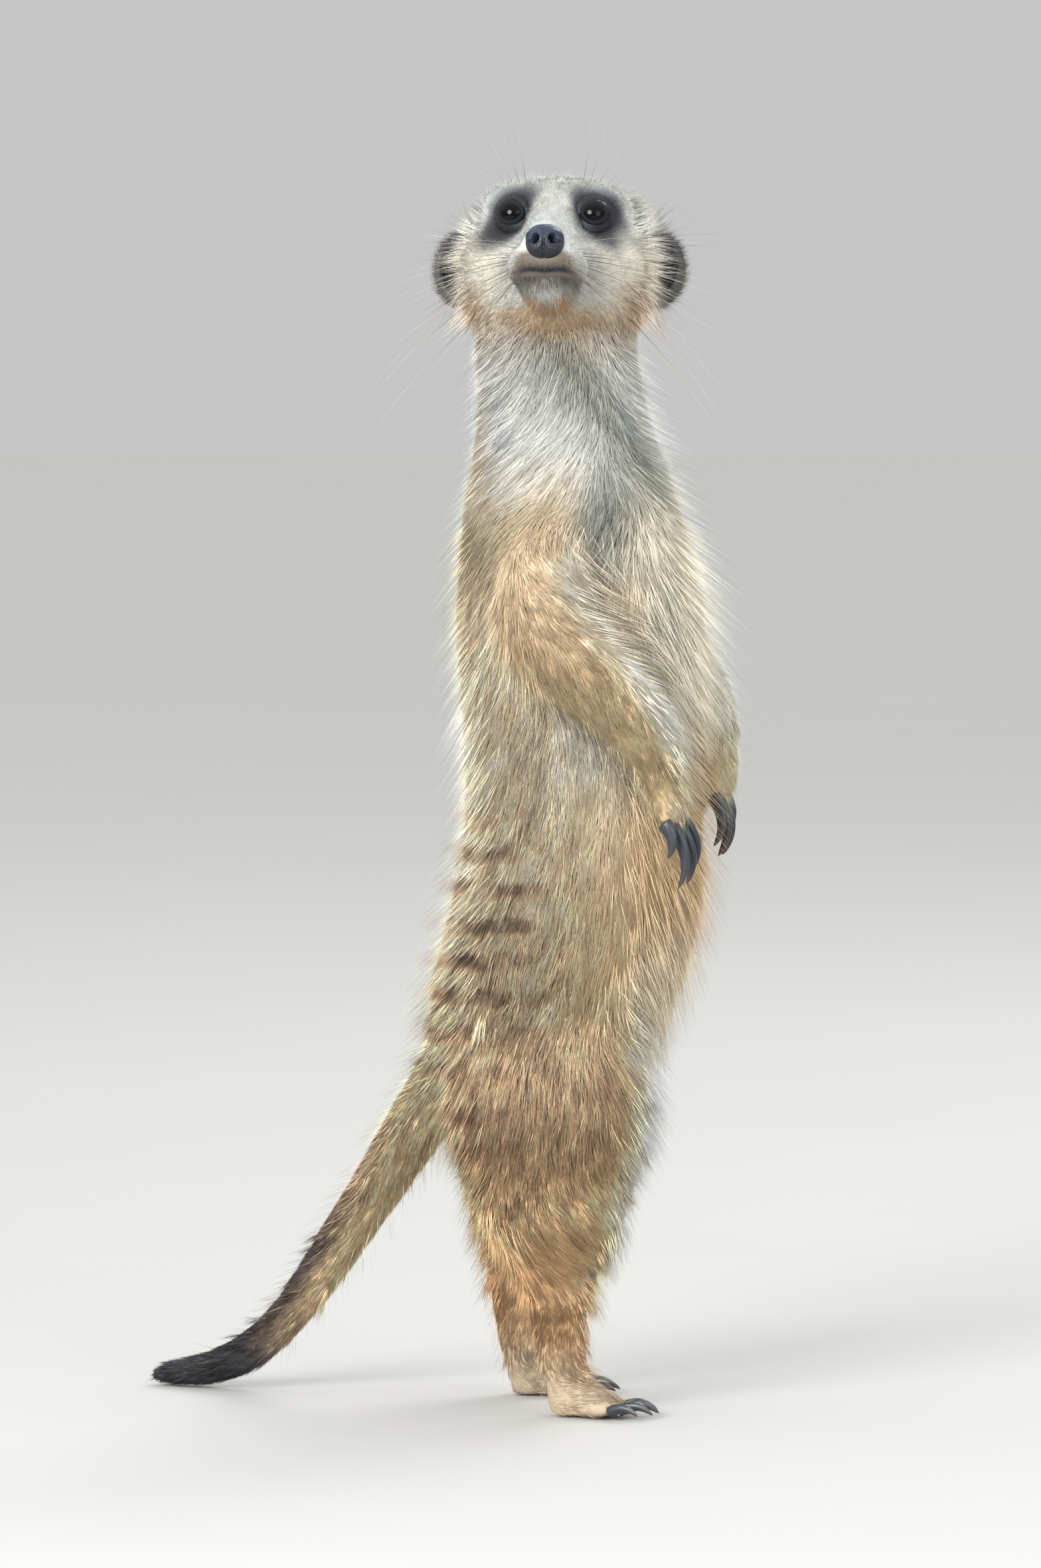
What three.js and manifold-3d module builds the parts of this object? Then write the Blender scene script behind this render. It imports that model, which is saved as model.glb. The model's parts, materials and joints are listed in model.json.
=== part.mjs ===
// A meerkat at life size, standing upright on its hind legs and tail with its head turned to its right.
// Millimetres, +Z up. The hips face -Y, so the animal's left is +X. The floor is at z = 0.
import * as THREE from "three";
import { LoftGeometry } from "three/addons/geometries/LoftGeometry.js";
import { mergeVertices } from "three/addons/utils/BufferGeometryUtils.js";
import Module from "manifold-3d";

const wasm = await Module();
wasm.setup();

// ---------------------------------------------------------------- driving dimensions
const GAP = 0.35; // clearance between neighbouring parts
const CHEST_TURN = 20; // degrees that the chest turns to the right of the hips
const HEAD_TURN = 90; // degrees that the head turns to the right of the hips
const HEAD_LIFT = 22; // degrees that the muzzle is raised above level
const HEAD_CENTRE = { forward: 2.8, left: -7.8, up: 302 };
const EYE = { forward: 12.4, side: 10.1, up: 3.9, radius: 4.8 };
const NOSE = { forward: 34.2, up: -12.1 };
const CLAW_LENGTH = { fore: 15.8, hind: 8.5 };
const SIDES = { left: 1, right: -1 };

// ---------------------------------------------------------------- coats and horny parts
const finish = (color, roughness = 0.85) =>
  new THREE.MeshStandardMaterial({ color, roughness, metalness: 0 });
const tanCoat = finish(0xb08c62);
const sandCoat = finish(0xc7a77c);
const paleCoat = finish(0xd8c8aa);
const darkCoat = finish(0x35302e);
const noseLeather = finish(0x2b2e37, 0.45);
const eyeball = finish(0x120d0b, 0.08);
const horn = finish(0x35343a, 0.4);

// ---------------------------------------------------------------- frames and curves
const radians = THREE.MathUtils.degToRad;
const at = (forward, left, up) => new THREE.Vector3(left, -forward, up);
const pathThrough = (points) =>
  new THREE.CatmullRomCurve3(points, false, "centripetal");

// A value that runs smoothly through the given ones as t goes from 0 to 1.
function through(values) {
  const curve = new THREE.SplineCurve(values.map((v) => new THREE.Vector2(v, 0)));
  return (t) => curve.getPoint(t).x;
}

// The fore and side directions of a section whose path runs along `tangent`.
function sectionAxes(tangent, facing) {
  const side = new THREE.Vector3().crossVectors(tangent, facing).normalize();
  const fore = new THREE.Vector3().crossVectors(side, tangent).normalize();
  return { fore, side };
}

// Rows along a path: each has a place on it and a lean, which is -90 at the start pole,
// 0 along the path and 90 at the end pole.
function rowsAlong(rows, capRows) {
  const list = [];
  for (let i = 1; i < capRows; i++) list.push({ u: 0, lean: -90 + (90 * i) / capRows });
  for (let i = 0; i <= rows; i++) list.push({ u: i / rows, lean: 0 });
  for (let i = 1; i < capRows; i++) list.push({ u: 1, lean: (90 * i) / capRows });
  return list;
}

// A fleshy length: oval sections along a path, with rounded ends.
// fore, aft and side hold one half size for each point of the path.
function fleshy(form) {
  const { points, fore, aft = fore, side = fore, facing } = form;
  const { around = 14, rows = 10, capRows = 3, dome = 1 } = form;
  const path = pathThrough(points);
  const [foreAt, aftAt, sideAt] = [through(fore), through(aft), through(side)];
  return (grow = 0) => {
    const sections = rowsAlong(rows, capRows).map(({ u, lean }) => {
      const t = path.getUtoTmapping(u);
      const centre = path.getPoint(t);
      const tangent = path.getTangent(t);
      const axes = sectionAxes(tangent, typeof facing === "function" ? facing(t) : facing);
      const [f, a, s] = [foreAt(t) + grow, aftAt(t) + grow, sideAt(t) + grow];
      const out = Math.cos(radians(lean));
      const reach = (Math.sin(radians(lean)) * dome * (f + a + 2 * s)) / 4;
      return ringOf(around, (angle) => {
        const [c, n] = [Math.cos(angle), Math.sin(angle)];
        return centre
          .clone()
          .addScaledVector(axes.fore, c * out * (c > 0 ? f : a))
          .addScaledVector(axes.side, n * out * s)
          .addScaledVector(tangent, reach);
      });
    });
    return new LoftGeometry(sections, { capStart: true, capEnd: true });
  };
}

function ringOf(around, pointAt) {
  return Array.from({ length: around }, (_, i) => pointAt((i / around) * 2 * Math.PI));
}

// ---------------------------------------------------------------- solids
function solidOf(geometry, matrix) {
  const bare = new THREE.BufferGeometry();
  bare.setAttribute("position", geometry.getAttribute("position").clone());
  bare.setIndex(geometry.getIndex());
  if (matrix) bare.applyMatrix4(matrix);
  const merged = mergeVertices(bare, 1e-4);
  return new wasm.Manifold(
    new wasm.Mesh({
      numProp: 3,
      vertProperties: merged.attributes.position.array,
      triVerts: new Uint32Array(merged.index.array),
    }),
  );
}

function geometryOf(solid) {
  const mesh = solid.getMesh();
  const geometry = new THREE.BufferGeometry();
  geometry.setAttribute("position", new THREE.BufferAttribute(mesh.vertProperties, 3));
  geometry.setIndex(new THREE.BufferAttribute(mesh.triVerts, 1));
  geometry.computeVertexNormals();
  return geometry;
}

function place(group, name, solid, material) {
  const mesh = new THREE.Mesh(geometryOf(solid), material);
  mesh.name = name;
  group.add(mesh);
  return mesh;
}

// A thin square blade that parts a limb at a point of its path.
function bladeAcross(point, direction, size, thickness = GAP) {
  const blade = new THREE.BoxGeometry(size, size, thickness);
  const turn = new THREE.Quaternion().setFromUnitVectors(
    new THREE.Vector3(0, 0, 1),
    direction.clone().normalize(),
  );
  return solidOf(blade, new THREE.Matrix4().compose(point, turn, new THREE.Vector3(1, 1, 1)));
}

// The pieces of a solid that blades leave, ordered by how far they lie along a direction.
function partedAlong(solid, blades, direction) {
  const pieces = blades.reduce((rest, blade) => rest.subtract(blade), solid).decompose();
  const along = (piece) => {
    const { min, max } = piece.boundingBox();
    const middle = new THREE.Vector3(...min).add(new THREE.Vector3(...max));
    return middle.dot(direction);
  };
  return pieces.sort((a, b) => along(a) - along(b));
}

const FLOOR_SIZE = 600;
const belowFloor = solidOf(
  new THREE.BoxGeometry(FLOOR_SIZE, FLOOR_SIZE, FLOOR_SIZE),
  new THREE.Matrix4().makeTranslation(0, 0, -FLOOR_SIZE / 2),
);

// ---------------------------------------------------------------- trunk and neck
// Each station is a level of the body: its centre in front of the spine line, its half sizes
// to the front, back and side, and how far it turns to the right of the hips.
const TRUNK_STATIONS = [
  { name: "crotch", up: 72, centre: -3, fore: 15, aft: 17, side: 18, turn: 0 },
  { name: "rump", up: 85, centre: -2.5, fore: 24, aft: 28.5, side: 27, turn: 0 },
  { name: "hips", up: 101, centre: -1, fore: 30, aft: 31.5, side: 32, turn: 0 },
  { name: "loin", up: 121, centre: 4.5, fore: 32.5, aft: 32.2, side: 33, turn: 3 },
  { name: "belly", up: 141, centre: 9.3, fore: 33, aft: 32, side: 32, turn: 7 },
  { name: "waist", up: 162, centre: 8.2, fore: 31, aft: 30.5, side: 30, turn: 11 },
  { name: "ribs", up: 182, centre: 8.2, fore: 32, aft: 31.5, side: 30.5, turn: 15 },
  { name: "chest", up: 203, centre: 9.3, fore: 34, aft: 34, side: 30, turn: CHEST_TURN },
  { name: "shoulders", up: 223, centre: 7, fore: 31.5, aft: 31.5, side: 27.5, turn: 23 },
  { name: "collar", up: 243, centre: 5.4, fore: 28, aft: 27.5, side: 25, turn: 28 },
  { name: "neck", up: 262, centre: 4.6, fore: 22.5, aft: 21.8, side: 22, turn: 45 },
  { name: "nape", up: 283, centre: 3, fore: 22, aft: 22, side: 22, turn: 60 },
];

const turnAt = through(TRUNK_STATIONS.map((s) => s.turn));
const facingAt = (t) => at(1, 0, 0).applyAxisAngle(at(0, 0, 1), -radians(turnAt(t)));

const trunkShape = fleshy({
  points: TRUNK_STATIONS.map(({ centre, turn, up }) =>
    at(centre, 0, 0)
      .applyAxisAngle(at(0, 0, 1), -radians(turn))
      .add(at(0, 0, up)),
  ),
  fore: TRUNK_STATIONS.map((s) => s.fore),
  aft: TRUNK_STATIONS.map((s) => s.aft),
  side: TRUNK_STATIONS.map((s) => s.side),
  facing: facingAt,
  around: 20,
  rows: 15,
  dome: 0.45,
});

// ---------------------------------------------------------------- head
const headGroup = new THREE.Group();
headGroup.position.copy(at(HEAD_CENTRE.forward, HEAD_CENTRE.left, HEAD_CENTRE.up));
headGroup.rotation.set(-radians(HEAD_LIFT), 0, -radians(HEAD_TURN), "ZXY");
headGroup.updateMatrixWorld(true);

// Distance fields, negative inside. Points and sizes are (forward, left, up) in the head's frame.
const ovoid = (centre, sizes) => (p) => {
  const q = p.clone().sub(centre);
  const scaled = q.clone().divide(sizes);
  const steep = scaled.clone().divide(sizes).length();
  const depth = scaled.length();
  return steep === 0 ? -Math.min(sizes.x, sizes.y, sizes.z) : (depth * (depth - 1)) / steep;
};
const sizesOf = (forward, left, up) => new THREE.Vector3(left, forward, up);
const taper = (start, end, startRadius, endRadius) => (p) => {
  const line = new THREE.Line3(start, end);
  const t = line.closestPointToPointParameter(p, true);
  const near = line.at(t, new THREE.Vector3());
  return p.distanceTo(near) - THREE.MathUtils.lerp(startRadius, endRadius, t);
};
const melt = (a, b, blend) => {
  const share = THREE.MathUtils.clamp(0.5 + (0.5 * (b - a)) / blend, 0, 1);
  return THREE.MathUtils.lerp(b, a, share) - blend * share * (1 - share);
};
const bothSides = (shape) => Object.values(SIDES).map((side) => shape(side));

const headForms = [
  { blend: 1, field: ovoid(at(-6.5, 0, 2.5), sizesOf(22.5, 22.9, 18.2)) }, // cranium
  ...bothSides((s) => ({
    blend: 7,
    field: ovoid(at(-3, s * 13.5, -8.5), sizesOf(17, 12, 13)), // cheek
  })),
  ...bothSides((s) => ({
    blend: 6,
    field: ovoid(at(5.5, s * 10.5, 9.2), sizesOf(9.5, 8.5, 5)), // brow
  })),
  { blend: 9, field: taper(at(6, 0, -7), at(30, 0, -13.9), 13, 6.6) }, // muzzle
  { blend: 5, field: taper(at(8, 0, 5), at(33, 0, -9.2), 7, 4.3) }, // bridge of the nose
  ...bothSides((s) => ({
    blend: 4,
    field: ovoid(at(25.5, s * 4.6, -15.6), sizesOf(8, 6.2, 5.2)), // whisker pad
  })),
  { blend: 5, field: taper(at(2, 0, -17), at(25, 0, -20.6), 10, 4.2) }, // lower jaw
  { blend: 8, field: ovoid(at(-6, 0, -18), sizesOf(15, 18, 12)) }, // throat
];
const eyeHollows = bothSides((s) => ovoid(at(19.5, s * 12.7, 1.7), sizesOf(5.5, 5.5, 5)));

function headField(p) {
  let depth = Infinity;
  for (const { blend, field } of headForms) {
    const next = field(p);
    depth = depth === Infinity ? next : melt(depth, next, blend);
  }
  for (const hollow of eyeHollows) depth = -melt(-depth, hollow(p), 5);
  return depth;
}

// How far out from a point the outermost skin lies in a direction.
function reachFrom(origin, direction, field) {
  const p = new THREE.Vector3();
  const inside = (r) => field(p.copy(origin).addScaledVector(direction, r)) < 0;
  let outer = 45;
  while (outer > 0.5 && !inside(outer)) outer -= 0.5;
  let inner = outer;
  outer += 0.5;
  for (let i = 0; i < 12; i++) {
    const middle = (inner + outer) / 2;
    if (inside(middle)) inner = middle;
    else outer = middle;
  }
  return inner;
}

const HEAD_AROUND = 28;
const HEAD_ROWS = 14;
const HEAD_CAP_ROWS = 5;
function headShape(grow = 0) {
  const spine = new THREE.LineCurve3(at(-10, 0, -1), at(31, 0, -12.6));
  const axes = sectionAxes(spine.getTangent(0), at(0, 0, 1));
  const tangent = spine.getTangent(0);
  const sections = rowsAlong(HEAD_ROWS, HEAD_CAP_ROWS).map(({ u, lean }) => {
    const centre = spine.getPoint(u);
    return ringOf(HEAD_AROUND, (angle) => {
      const direction = new THREE.Vector3()
        .addScaledVector(axes.fore, Math.cos(angle) * Math.cos(radians(lean)))
        .addScaledVector(axes.side, Math.sin(angle) * Math.cos(radians(lean)))
        .addScaledVector(tangent, Math.sin(radians(lean)));
      const reach = reachFrom(centre, direction, headField) + grow;
      return centre.clone().addScaledVector(direction, reach);
    });
  });
  return new LoftGeometry(sections, { capStart: true, capEnd: true });
}

// An oval solid with its half sizes in (forward, left, up).
function oval(centre, forward, left, up, around, rows, grow = 0) {
  const ball = new THREE.SphereGeometry(1, around, rows);
  ball.scale(left + grow, forward + grow, up + grow);
  return solidOf(ball, new THREE.Matrix4().makeTranslation(centre.x, centre.y, centre.z));
}

const eyeAt = (side) => at(EYE.forward, side * EYE.side, EYE.up);
const eyeSolid = (side, grow = 0) =>
  oval(eyeAt(side), EYE.radius, EYE.radius, EYE.radius, 10, 8, grow);

// The ear: a shallow cup that opens forwards and outwards behind the cheek.
function earSolid(side) {
  const outer = oval(at(-10.5, side * 25, -2.5), 6.5, 8, 11, 12, 8);
  const hollow = oval(at(-4.5, side * 26.2, -2.8), 8, 5.2, 8.2, 10, 6);
  return outer.subtract(hollow);
}

// The nose leather, with two nostrils that open forwards and a little outwards.
function noseSolid(grow = 0) {
  const pad = oval(at(NOSE.forward, 0, NOSE.up), 4.8, 5.1, 4.8, 12, 8, grow);
  if (grow) return pad;
  const nostrils = bothSides((s) => at(NOSE.forward + 4.8, s * 2.2, NOSE.up + 0.6));
  return nostrils.reduce((left, middle) => left.subtract(oval(middle, 2.6, 1.15, 1.2, 6, 4)), pad);
}

function makeHead() {
  const neckFromHead = solidOf(trunkShape(GAP), headGroup.matrixWorld.clone().invert());
  const cutters = [eyeSolid(1, GAP), eyeSolid(-1, GAP), noseSolid(GAP), neckFromHead];
  const skull = cutters.reduce((rest, cutter) => rest.subtract(cutter), solidOf(headShape()));
  place(headGroup, "head", skull, sandCoat);
  place(headGroup, "nose", noseSolid(), noseLeather);
  const headClear = solidOf(headShape(GAP));
  for (const [name, side] of Object.entries(SIDES)) {
    place(headGroup, `eye_${name}`, eyeSolid(side), eyeball);
    place(headGroup, `ear_${name}`, earSolid(side).subtract(headClear), darkCoat);
  }
}
makeHead();

// ---------------------------------------------------------------- trunk nodes
const body = new THREE.Group();
const TRUNK_CUTS = { hips: 112, belly: 158, chest: 236 }; // the top of each of these nodes
const trunkSolid = solidOf(trunkShape());
const trunkClearance = solidOf(trunkShape(GAP));
const trunkPieces = partedAlong(
  trunkSolid,
  Object.values(TRUNK_CUTS).map((up) => bladeAcross(at(0, 0, up), at(0, 0, 1), 200)),
  at(0, 0, 1),
);
["hips", "belly", "chest", "neck"].forEach((name, i) =>
  place(body, name, trunkPieces[i], name === "neck" ? paleCoat : tanCoat),
);

// ---------------------------------------------------------------- claws and digits
// A claw: a tapering horn swept along an arc, with its root in the digit.
function clawShape(root, direction, palmward, length, thickness) {
  const path = new THREE.QuadraticBezierCurve3(
    root,
    root.clone().addScaledVector(direction, length * 0.5).addScaledVector(palmward, -length * 0.25),
    root.clone().addScaledVector(direction, length * 0.98).addScaledVector(palmward, length * 0.14),
  );
  const rows = 3;
  const sections = Array.from({ length: rows + 1 }, (_, i) => {
    const t = i / rows;
    const { fore, side } = sectionAxes(path.getTangent(t), palmward);
    const radius = thickness * Math.pow(1 - t, 0.7) + 0.12;
    return ringOf(6, (angle) =>
      path
        .getPoint(t)
        .addScaledVector(fore, Math.cos(angle) * radius * 1.2)
        .addScaledVector(side, Math.sin(angle) * radius * 0.8),
    );
  });
  return new LoftGeometry(sections, { capStart: true, capEnd: true });
}

const DIGIT_DOME = 0.3; // how round the end of a digit is, from flat to a half ball

// A paw: a palm or sole with four digits side by side, each ending in a claw of its own.
// `spread` is the direction across the paw and `palmward` the way its sole faces. The claws are
// `shares` of the paw's claw length, from the innermost to the outermost.
function makePaw(group, form) {
  const { name, palm, heel, root, reach, spread, palmward, digits, claw, cutters } = form;
  const clear = (solid) => cutters.reduce((rest, cutter) => rest.subtract(cutter), solid);
  const digitsAt = digits.map(({ across, start, length, radius, splay, dip = 0 }) => {
    const direction = reach
      .clone()
      .addScaledVector(spread, splay)
      .addScaledVector(palmward, dip)
      .normalize();
    const from = root.clone().addScaledVector(spread, across).addScaledVector(reach, start);
    const tip = from.clone().addScaledVector(direction, length);
    return { from, tip, direction, radius };
  });
  const digitShape = ({ from, tip, radius }, grow = 0) =>
    solidOf(
      fleshy({
        points: [from, from.clone().lerp(tip, 0.5), tip],
        fore: [radius * 1.05, radius, radius * 0.85],
        facing: palmward,
        around: 6,
        rows: 2,
        capRows: 2,
        dome: DIGIT_DOME,
      })(grow),
    );
  const pawSolid = (grow = 0) =>
    digitsAt.reduce((whole, digit) => whole.add(digitShape(digit, grow)), solidOf(palm(grow)));
  const flesh = heel ? pawSolid().add(heel) : pawSolid();
  place(group, name, clear(flesh), sandCoat);
  digitsAt.forEach(({ tip, direction, radius }, i) => {
    const nailBed = tip.clone().addScaledVector(direction, radius * DIGIT_DOME + GAP);
    const length = claw.length * claw.shares[i];
    const shape = clawShape(nailBed, direction, palmward, length, claw.thickness);
    place(group, `${name}_claw_${i + 1}`, clear(solidOf(shape)), horn);
  });
}

// ---------------------------------------------------------------- arms
// The arms hang from the chest, so their places are (forward, outward, up) from its spine line.
const chestGroup = new THREE.Group();
chestGroup.rotation.z = -radians(CHEST_TURN);
chestGroup.updateMatrixWorld(true);
body.add(chestGroup);
const trunkFromChest = solidOf(trunkShape(GAP), chestGroup.matrixWorld.clone().invert());

// Each arm's places from the shoulder to the wrist, then the knuckles.
const ARMS = {
  right: {
    shoulder: [8, 20, 227],
    upperArm: [9, 26, 213],
    elbow: [17, 30.5, 199.5],
    forearm: [31, 28.5, 188.5],
    wrist: [40, 23.5, 176],
    knuckles: [44.3, 20.5, 160],
  },
  left: {
    shoulder: [8, 20, 227],
    upperArm: [9, 26, 213],
    elbow: [14, 30.5, 200],
    forearm: [26.5, 27, 190],
    wrist: [36, 21, 179],
    knuckles: [39.2, 21.2, 163.6],
  },
};
const ARM_FORE = [12, 14, 13, 11, 9.2];
const ARM_SIDE = [8, 10, 10.4, 9.6, 8.4];
const HAND_WIDTH = 12.5;
const HAND_TURN = { right: 0, left: 12 }; // degrees that the fingers' row turns back at its outer end
const CLAW_SHARES = { right: [0.85, 0.97, 1, 0.52], left: [0.74, 0.85, 0.85, 0.6] };

function makeArm(sideName) {
  const s = SIDES[sideName];
  const [shoulder, upperArm, elbow, forearm, wrist, knuckles] = Object.values(ARMS[sideName]).map(
    ([forward, out, up]) => at(forward, s * out, up),
  );
  const arm = fleshy({
    points: [shoulder, upperArm, elbow, forearm, wrist],
    fore: ARM_FORE,
    side: ARM_SIDE,
    facing: (t) => at(1, 0, 0).lerp(at(0, 0, 1), t),
    around: 12,
    rows: 9,
  });
  const armSolid = solidOf(arm()).subtract(trunkFromChest);
  const elbowBlade = bladeAcross(elbow, forearm.clone().sub(upperArm), 80);
  const [upper, lower] = partedAlong(armSolid, [elbowBlade], at(1, 0, -1)).filter(
    (piece) => piece.volume() > 50,
  );
  place(chestGroup, `upper_arm_${sideName}`, upper, tanCoat);
  place(chestGroup, `forearm_${sideName}`, lower, sandCoat);
  const down = knuckles.clone().sub(wrist).normalize();
  const turn = radians(HAND_TURN[sideName]);
  makePaw(chestGroup, {
    name: `forepaw_${sideName}`,
    palm: fleshy({
      points: [wrist.clone().lerp(knuckles, 0.12), wrist.clone().lerp(knuckles, 0.55), knuckles],
      fore: [7.4, 6.2, 5.2],
      side: [7.2, 6.6, 6.4],
      facing: at(1, 0, 0),
      around: 8,
      rows: 3,
      capRows: 2,
    }),
    root: knuckles,
    reach: down,
    spread: at(-Math.sin(turn), s * Math.cos(turn), 0),
    palmward: at(-1, 0, 0),
    digits: [-1.5, -0.5, 0.5, 1.5].map((k) => ({
      across: (k * HAND_WIDTH) / 4,
      start: -2.5,
      length: 9 - Math.abs(k) * 1.1,
      radius: 2.5,
      splay: k * 0.09,
      dip: 0.1,
    })),
    claw: { length: CLAW_LENGTH.fore, shares: CLAW_SHARES[sideName], thickness: 1.6 },
    cutters: [trunkFromChest, solidOf(arm(GAP))],
  });
}

// ---------------------------------------------------------------- legs
const LEGS = {
  right: {
    out: 22,
    toeTurn: -14,
    path: [
      [1, 104],
      [1.5, 85],
      [2.5, 64],
      [3, 50],
      [3.2, 40],
      [4, 31],
      [4.6, 21],
      [6.5, 9],
    ],
  },
  left: {
    out: 21,
    toeTurn: 14,
    path: [
      [-1, 104],
      [-1.5, 85],
      [-3.5, 64],
      [-6, 50],
      [-8, 40],
      [-9.2, 31],
      [-9.4, 21],
      [-7.5, 9],
    ],
  },
};
const LEG_FORE = [24, 28.5, 24.5, 19.5, 14, 8.8, 6.9, 6.2];
const LEG_SIDE = [6, 16.5, 15.5, 13, 10.2, 8, 6.6, 6.6];
const LEG_CUTS = { knee: 56, hock: 33 };

function makeLeg(sideName) {
  const s = SIDES[sideName];
  const { out, toeTurn, path } = LEGS[sideName];
  const points = path.map(([forward, up]) => at(forward, s * out, up));
  const leg = fleshy({
    points,
    fore: LEG_FORE,
    side: LEG_SIDE,
    facing: at(1, 0, 0),
    around: 12,
    rows: 11,
  });
  const legSolid = solidOf(leg()).subtract(trunkClearance);
  const blades = Object.values(LEG_CUTS).map((up) => bladeAcross(at(0, s * out, up), at(0, 0, 1), 120));
  const pieces = partedAlong(legSolid, blades, at(0, 0, 1)).filter((p) => p.volume() > 50);
  const [metatarsus, shank, thigh] = pieces;
  place(body, `thigh_${sideName}`, thigh, tanCoat);
  place(body, `shank_${sideName}`, shank, tanCoat);
  const turn = new THREE.Matrix4().makeRotationZ(radians(toeTurn));
  const reach = at(1, 0, 0).applyMatrix4(turn);
  const heel = points[points.length - 1].clone();
  heel.z = 4.4;
  makePaw(body, {
    name: `hind_foot_${sideName}`,
    palm: fleshy({
      points: [heel, heel.clone().addScaledVector(reach, 4), heel.clone().addScaledVector(reach, 8)],
      fore: [6.2, 5.2, 4.6],
      side: [6.4, 6.8, 6.8],
      facing: at(0, 0, 1),
      around: 8,
      rows: 2,
      capRows: 2,
    }),
    root: heel.clone().addScaledVector(reach, 9).setZ(2.6),
    reach,
    spread: at(0, s, 0).applyMatrix4(turn),
    palmward: at(0, 0, -1),
    digits: [-1.5, -0.5, 0.5, 1.5].map((k) => ({
      across: k * 3.4,
      start: -2,
      length: 8.5 - Math.abs(k) * 1.2,
      radius: 2.7,
      splay: k * 0.1,
    })),
    claw: { length: CLAW_LENGTH.hind, shares: [0.92, 1, 1, 0.85], thickness: 1.15 },
    heel: metatarsus,
    cutters: [belowFloor],
  });
}

// ---------------------------------------------------------------- tail
const TAIL_PATH = [
  [-14, 0, 104],
  [-30.5, 2.6, 79.5],
  [-45, 8, 57],
  [-59, 14.5, 36],
  [-72.5, 21, 17.6],
  [-87, 27.5, 6.4],
  [-105, 34, 3.2],
];
const TAIL_RADII = [11, 9, 7.6, 6.5, 5.8, 5.5, 3.6];
const TAIL_CUTS = [2.2, 4.1]; // where the lengths part, counted in points of the path

function makeTail() {
  const points = TAIL_PATH.map(([forward, left, up]) => at(forward, left, up));
  const path = pathThrough(points);
  const tail = fleshy({ points, fore: TAIL_RADII, facing: at(1, 0, 1), around: 12, rows: 12 });
  const freed = solidOf(tail()).subtract(trunkClearance).subtract(belowFloor);
  const blades = TAIL_CUTS.map((place) => {
    const t = place / (points.length - 1);
    return bladeAcross(path.getPoint(t), path.getTangent(t), 60);
  });
  const pieces = partedAlong(freed, blades, at(-1, 0, 0)).filter((p) => p.volume() > 50);
  ["tail_base", "tail_middle", "tail_tip"].forEach((name, i) =>
    place(body, name, pieces[i], name === "tail_tip" ? darkCoat : tanCoat),
  );
}

for (const sideName of Object.keys(SIDES)) {
  makeArm(sideName);
  makeLeg(sideName);
}
makeTail();

// ---------------------------------------------------------------- the whole animal
const meerkat = new THREE.Group();
meerkat.add(body, headGroup);
const middle = new THREE.Box3().setFromObject(meerkat, true).getCenter(new THREE.Vector3());
meerkat.position.set(-middle.x, -middle.y, 0);

export default meerkat;
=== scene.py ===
"""The finish of a still, life-size meerkat that stands on its hind legs: skin, coat, eyes, nose, claws, whiskers.

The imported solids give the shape. One skin lies inside them by the depth of the coat, and the coat is made of thin
closed tufts that lie along it. Work is done in millimetres, and meshes are written in metres.
"""

import json
import math
from functools import cache

import bmesh
import bpy
import numpy as np
from bpy.props import FloatProperty, FloatVectorProperty, PointerProperty
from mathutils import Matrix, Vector, kdtree
from mathutils.bvhtree import BVHTree

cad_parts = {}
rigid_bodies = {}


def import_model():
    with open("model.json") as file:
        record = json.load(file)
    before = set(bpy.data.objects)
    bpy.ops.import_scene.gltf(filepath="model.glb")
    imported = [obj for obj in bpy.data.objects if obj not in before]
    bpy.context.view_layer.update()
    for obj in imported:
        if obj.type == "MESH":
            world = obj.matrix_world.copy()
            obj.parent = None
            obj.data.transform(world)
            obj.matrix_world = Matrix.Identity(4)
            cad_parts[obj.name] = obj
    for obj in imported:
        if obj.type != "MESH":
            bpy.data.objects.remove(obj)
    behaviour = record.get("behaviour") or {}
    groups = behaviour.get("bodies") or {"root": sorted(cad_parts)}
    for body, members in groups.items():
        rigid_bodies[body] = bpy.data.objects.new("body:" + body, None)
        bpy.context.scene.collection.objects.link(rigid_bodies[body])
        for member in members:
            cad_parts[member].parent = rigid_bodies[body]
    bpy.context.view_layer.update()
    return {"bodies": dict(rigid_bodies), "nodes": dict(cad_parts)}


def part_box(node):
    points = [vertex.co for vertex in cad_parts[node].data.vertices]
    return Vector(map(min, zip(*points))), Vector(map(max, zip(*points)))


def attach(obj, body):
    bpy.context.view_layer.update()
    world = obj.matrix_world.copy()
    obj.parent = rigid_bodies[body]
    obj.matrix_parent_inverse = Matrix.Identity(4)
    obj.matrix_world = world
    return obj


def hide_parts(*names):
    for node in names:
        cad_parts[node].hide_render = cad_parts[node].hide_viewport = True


bl_info = {
    "name": "Meerkat finish",
    "version": (1, 0, 0),
    "blender": (4, 5, 0),
    "location": "3D View > Sidebar > Meerkat",
    "description": "Skin, coat, eyes, nose, claws, whiskers and stage for a still life-size meerkat",
    "category": "Object",
}

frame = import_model()

MM = 0.001
SEED = 23
SIDES = {"left": 1, "right": -1}
TRUNK = ("hips", "belly", "chest", "neck")
TAIL = ("tail_base", "tail_middle", "tail_tip")
PAWS = ("forepaw", "hind_foot")
PAIRED = ("ear", "upper_arm", "forearm", "forepaw", "thigh", "shank", "hind_foot")
FLESH = [*TRUNK, "head", *(f"{part}_{side}" for part in PAIRED for side in SIDES), *TAIL]
CLAWS = {f"{paw}_{side}_claw_{i}": f"{paw}_{side}" for paw in PAWS for side in SIDES for i in range(1, 5)}
SET_IN_FACE = ("eye_left", "eye_right", "nose")
REGION = {name: i for i, name in enumerate(FLESH)}


def both(*parts):
    """The names of paired parts, on both sides."""
    return [f"{part}_{side}" for part in parts for side in SIDES]


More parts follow.
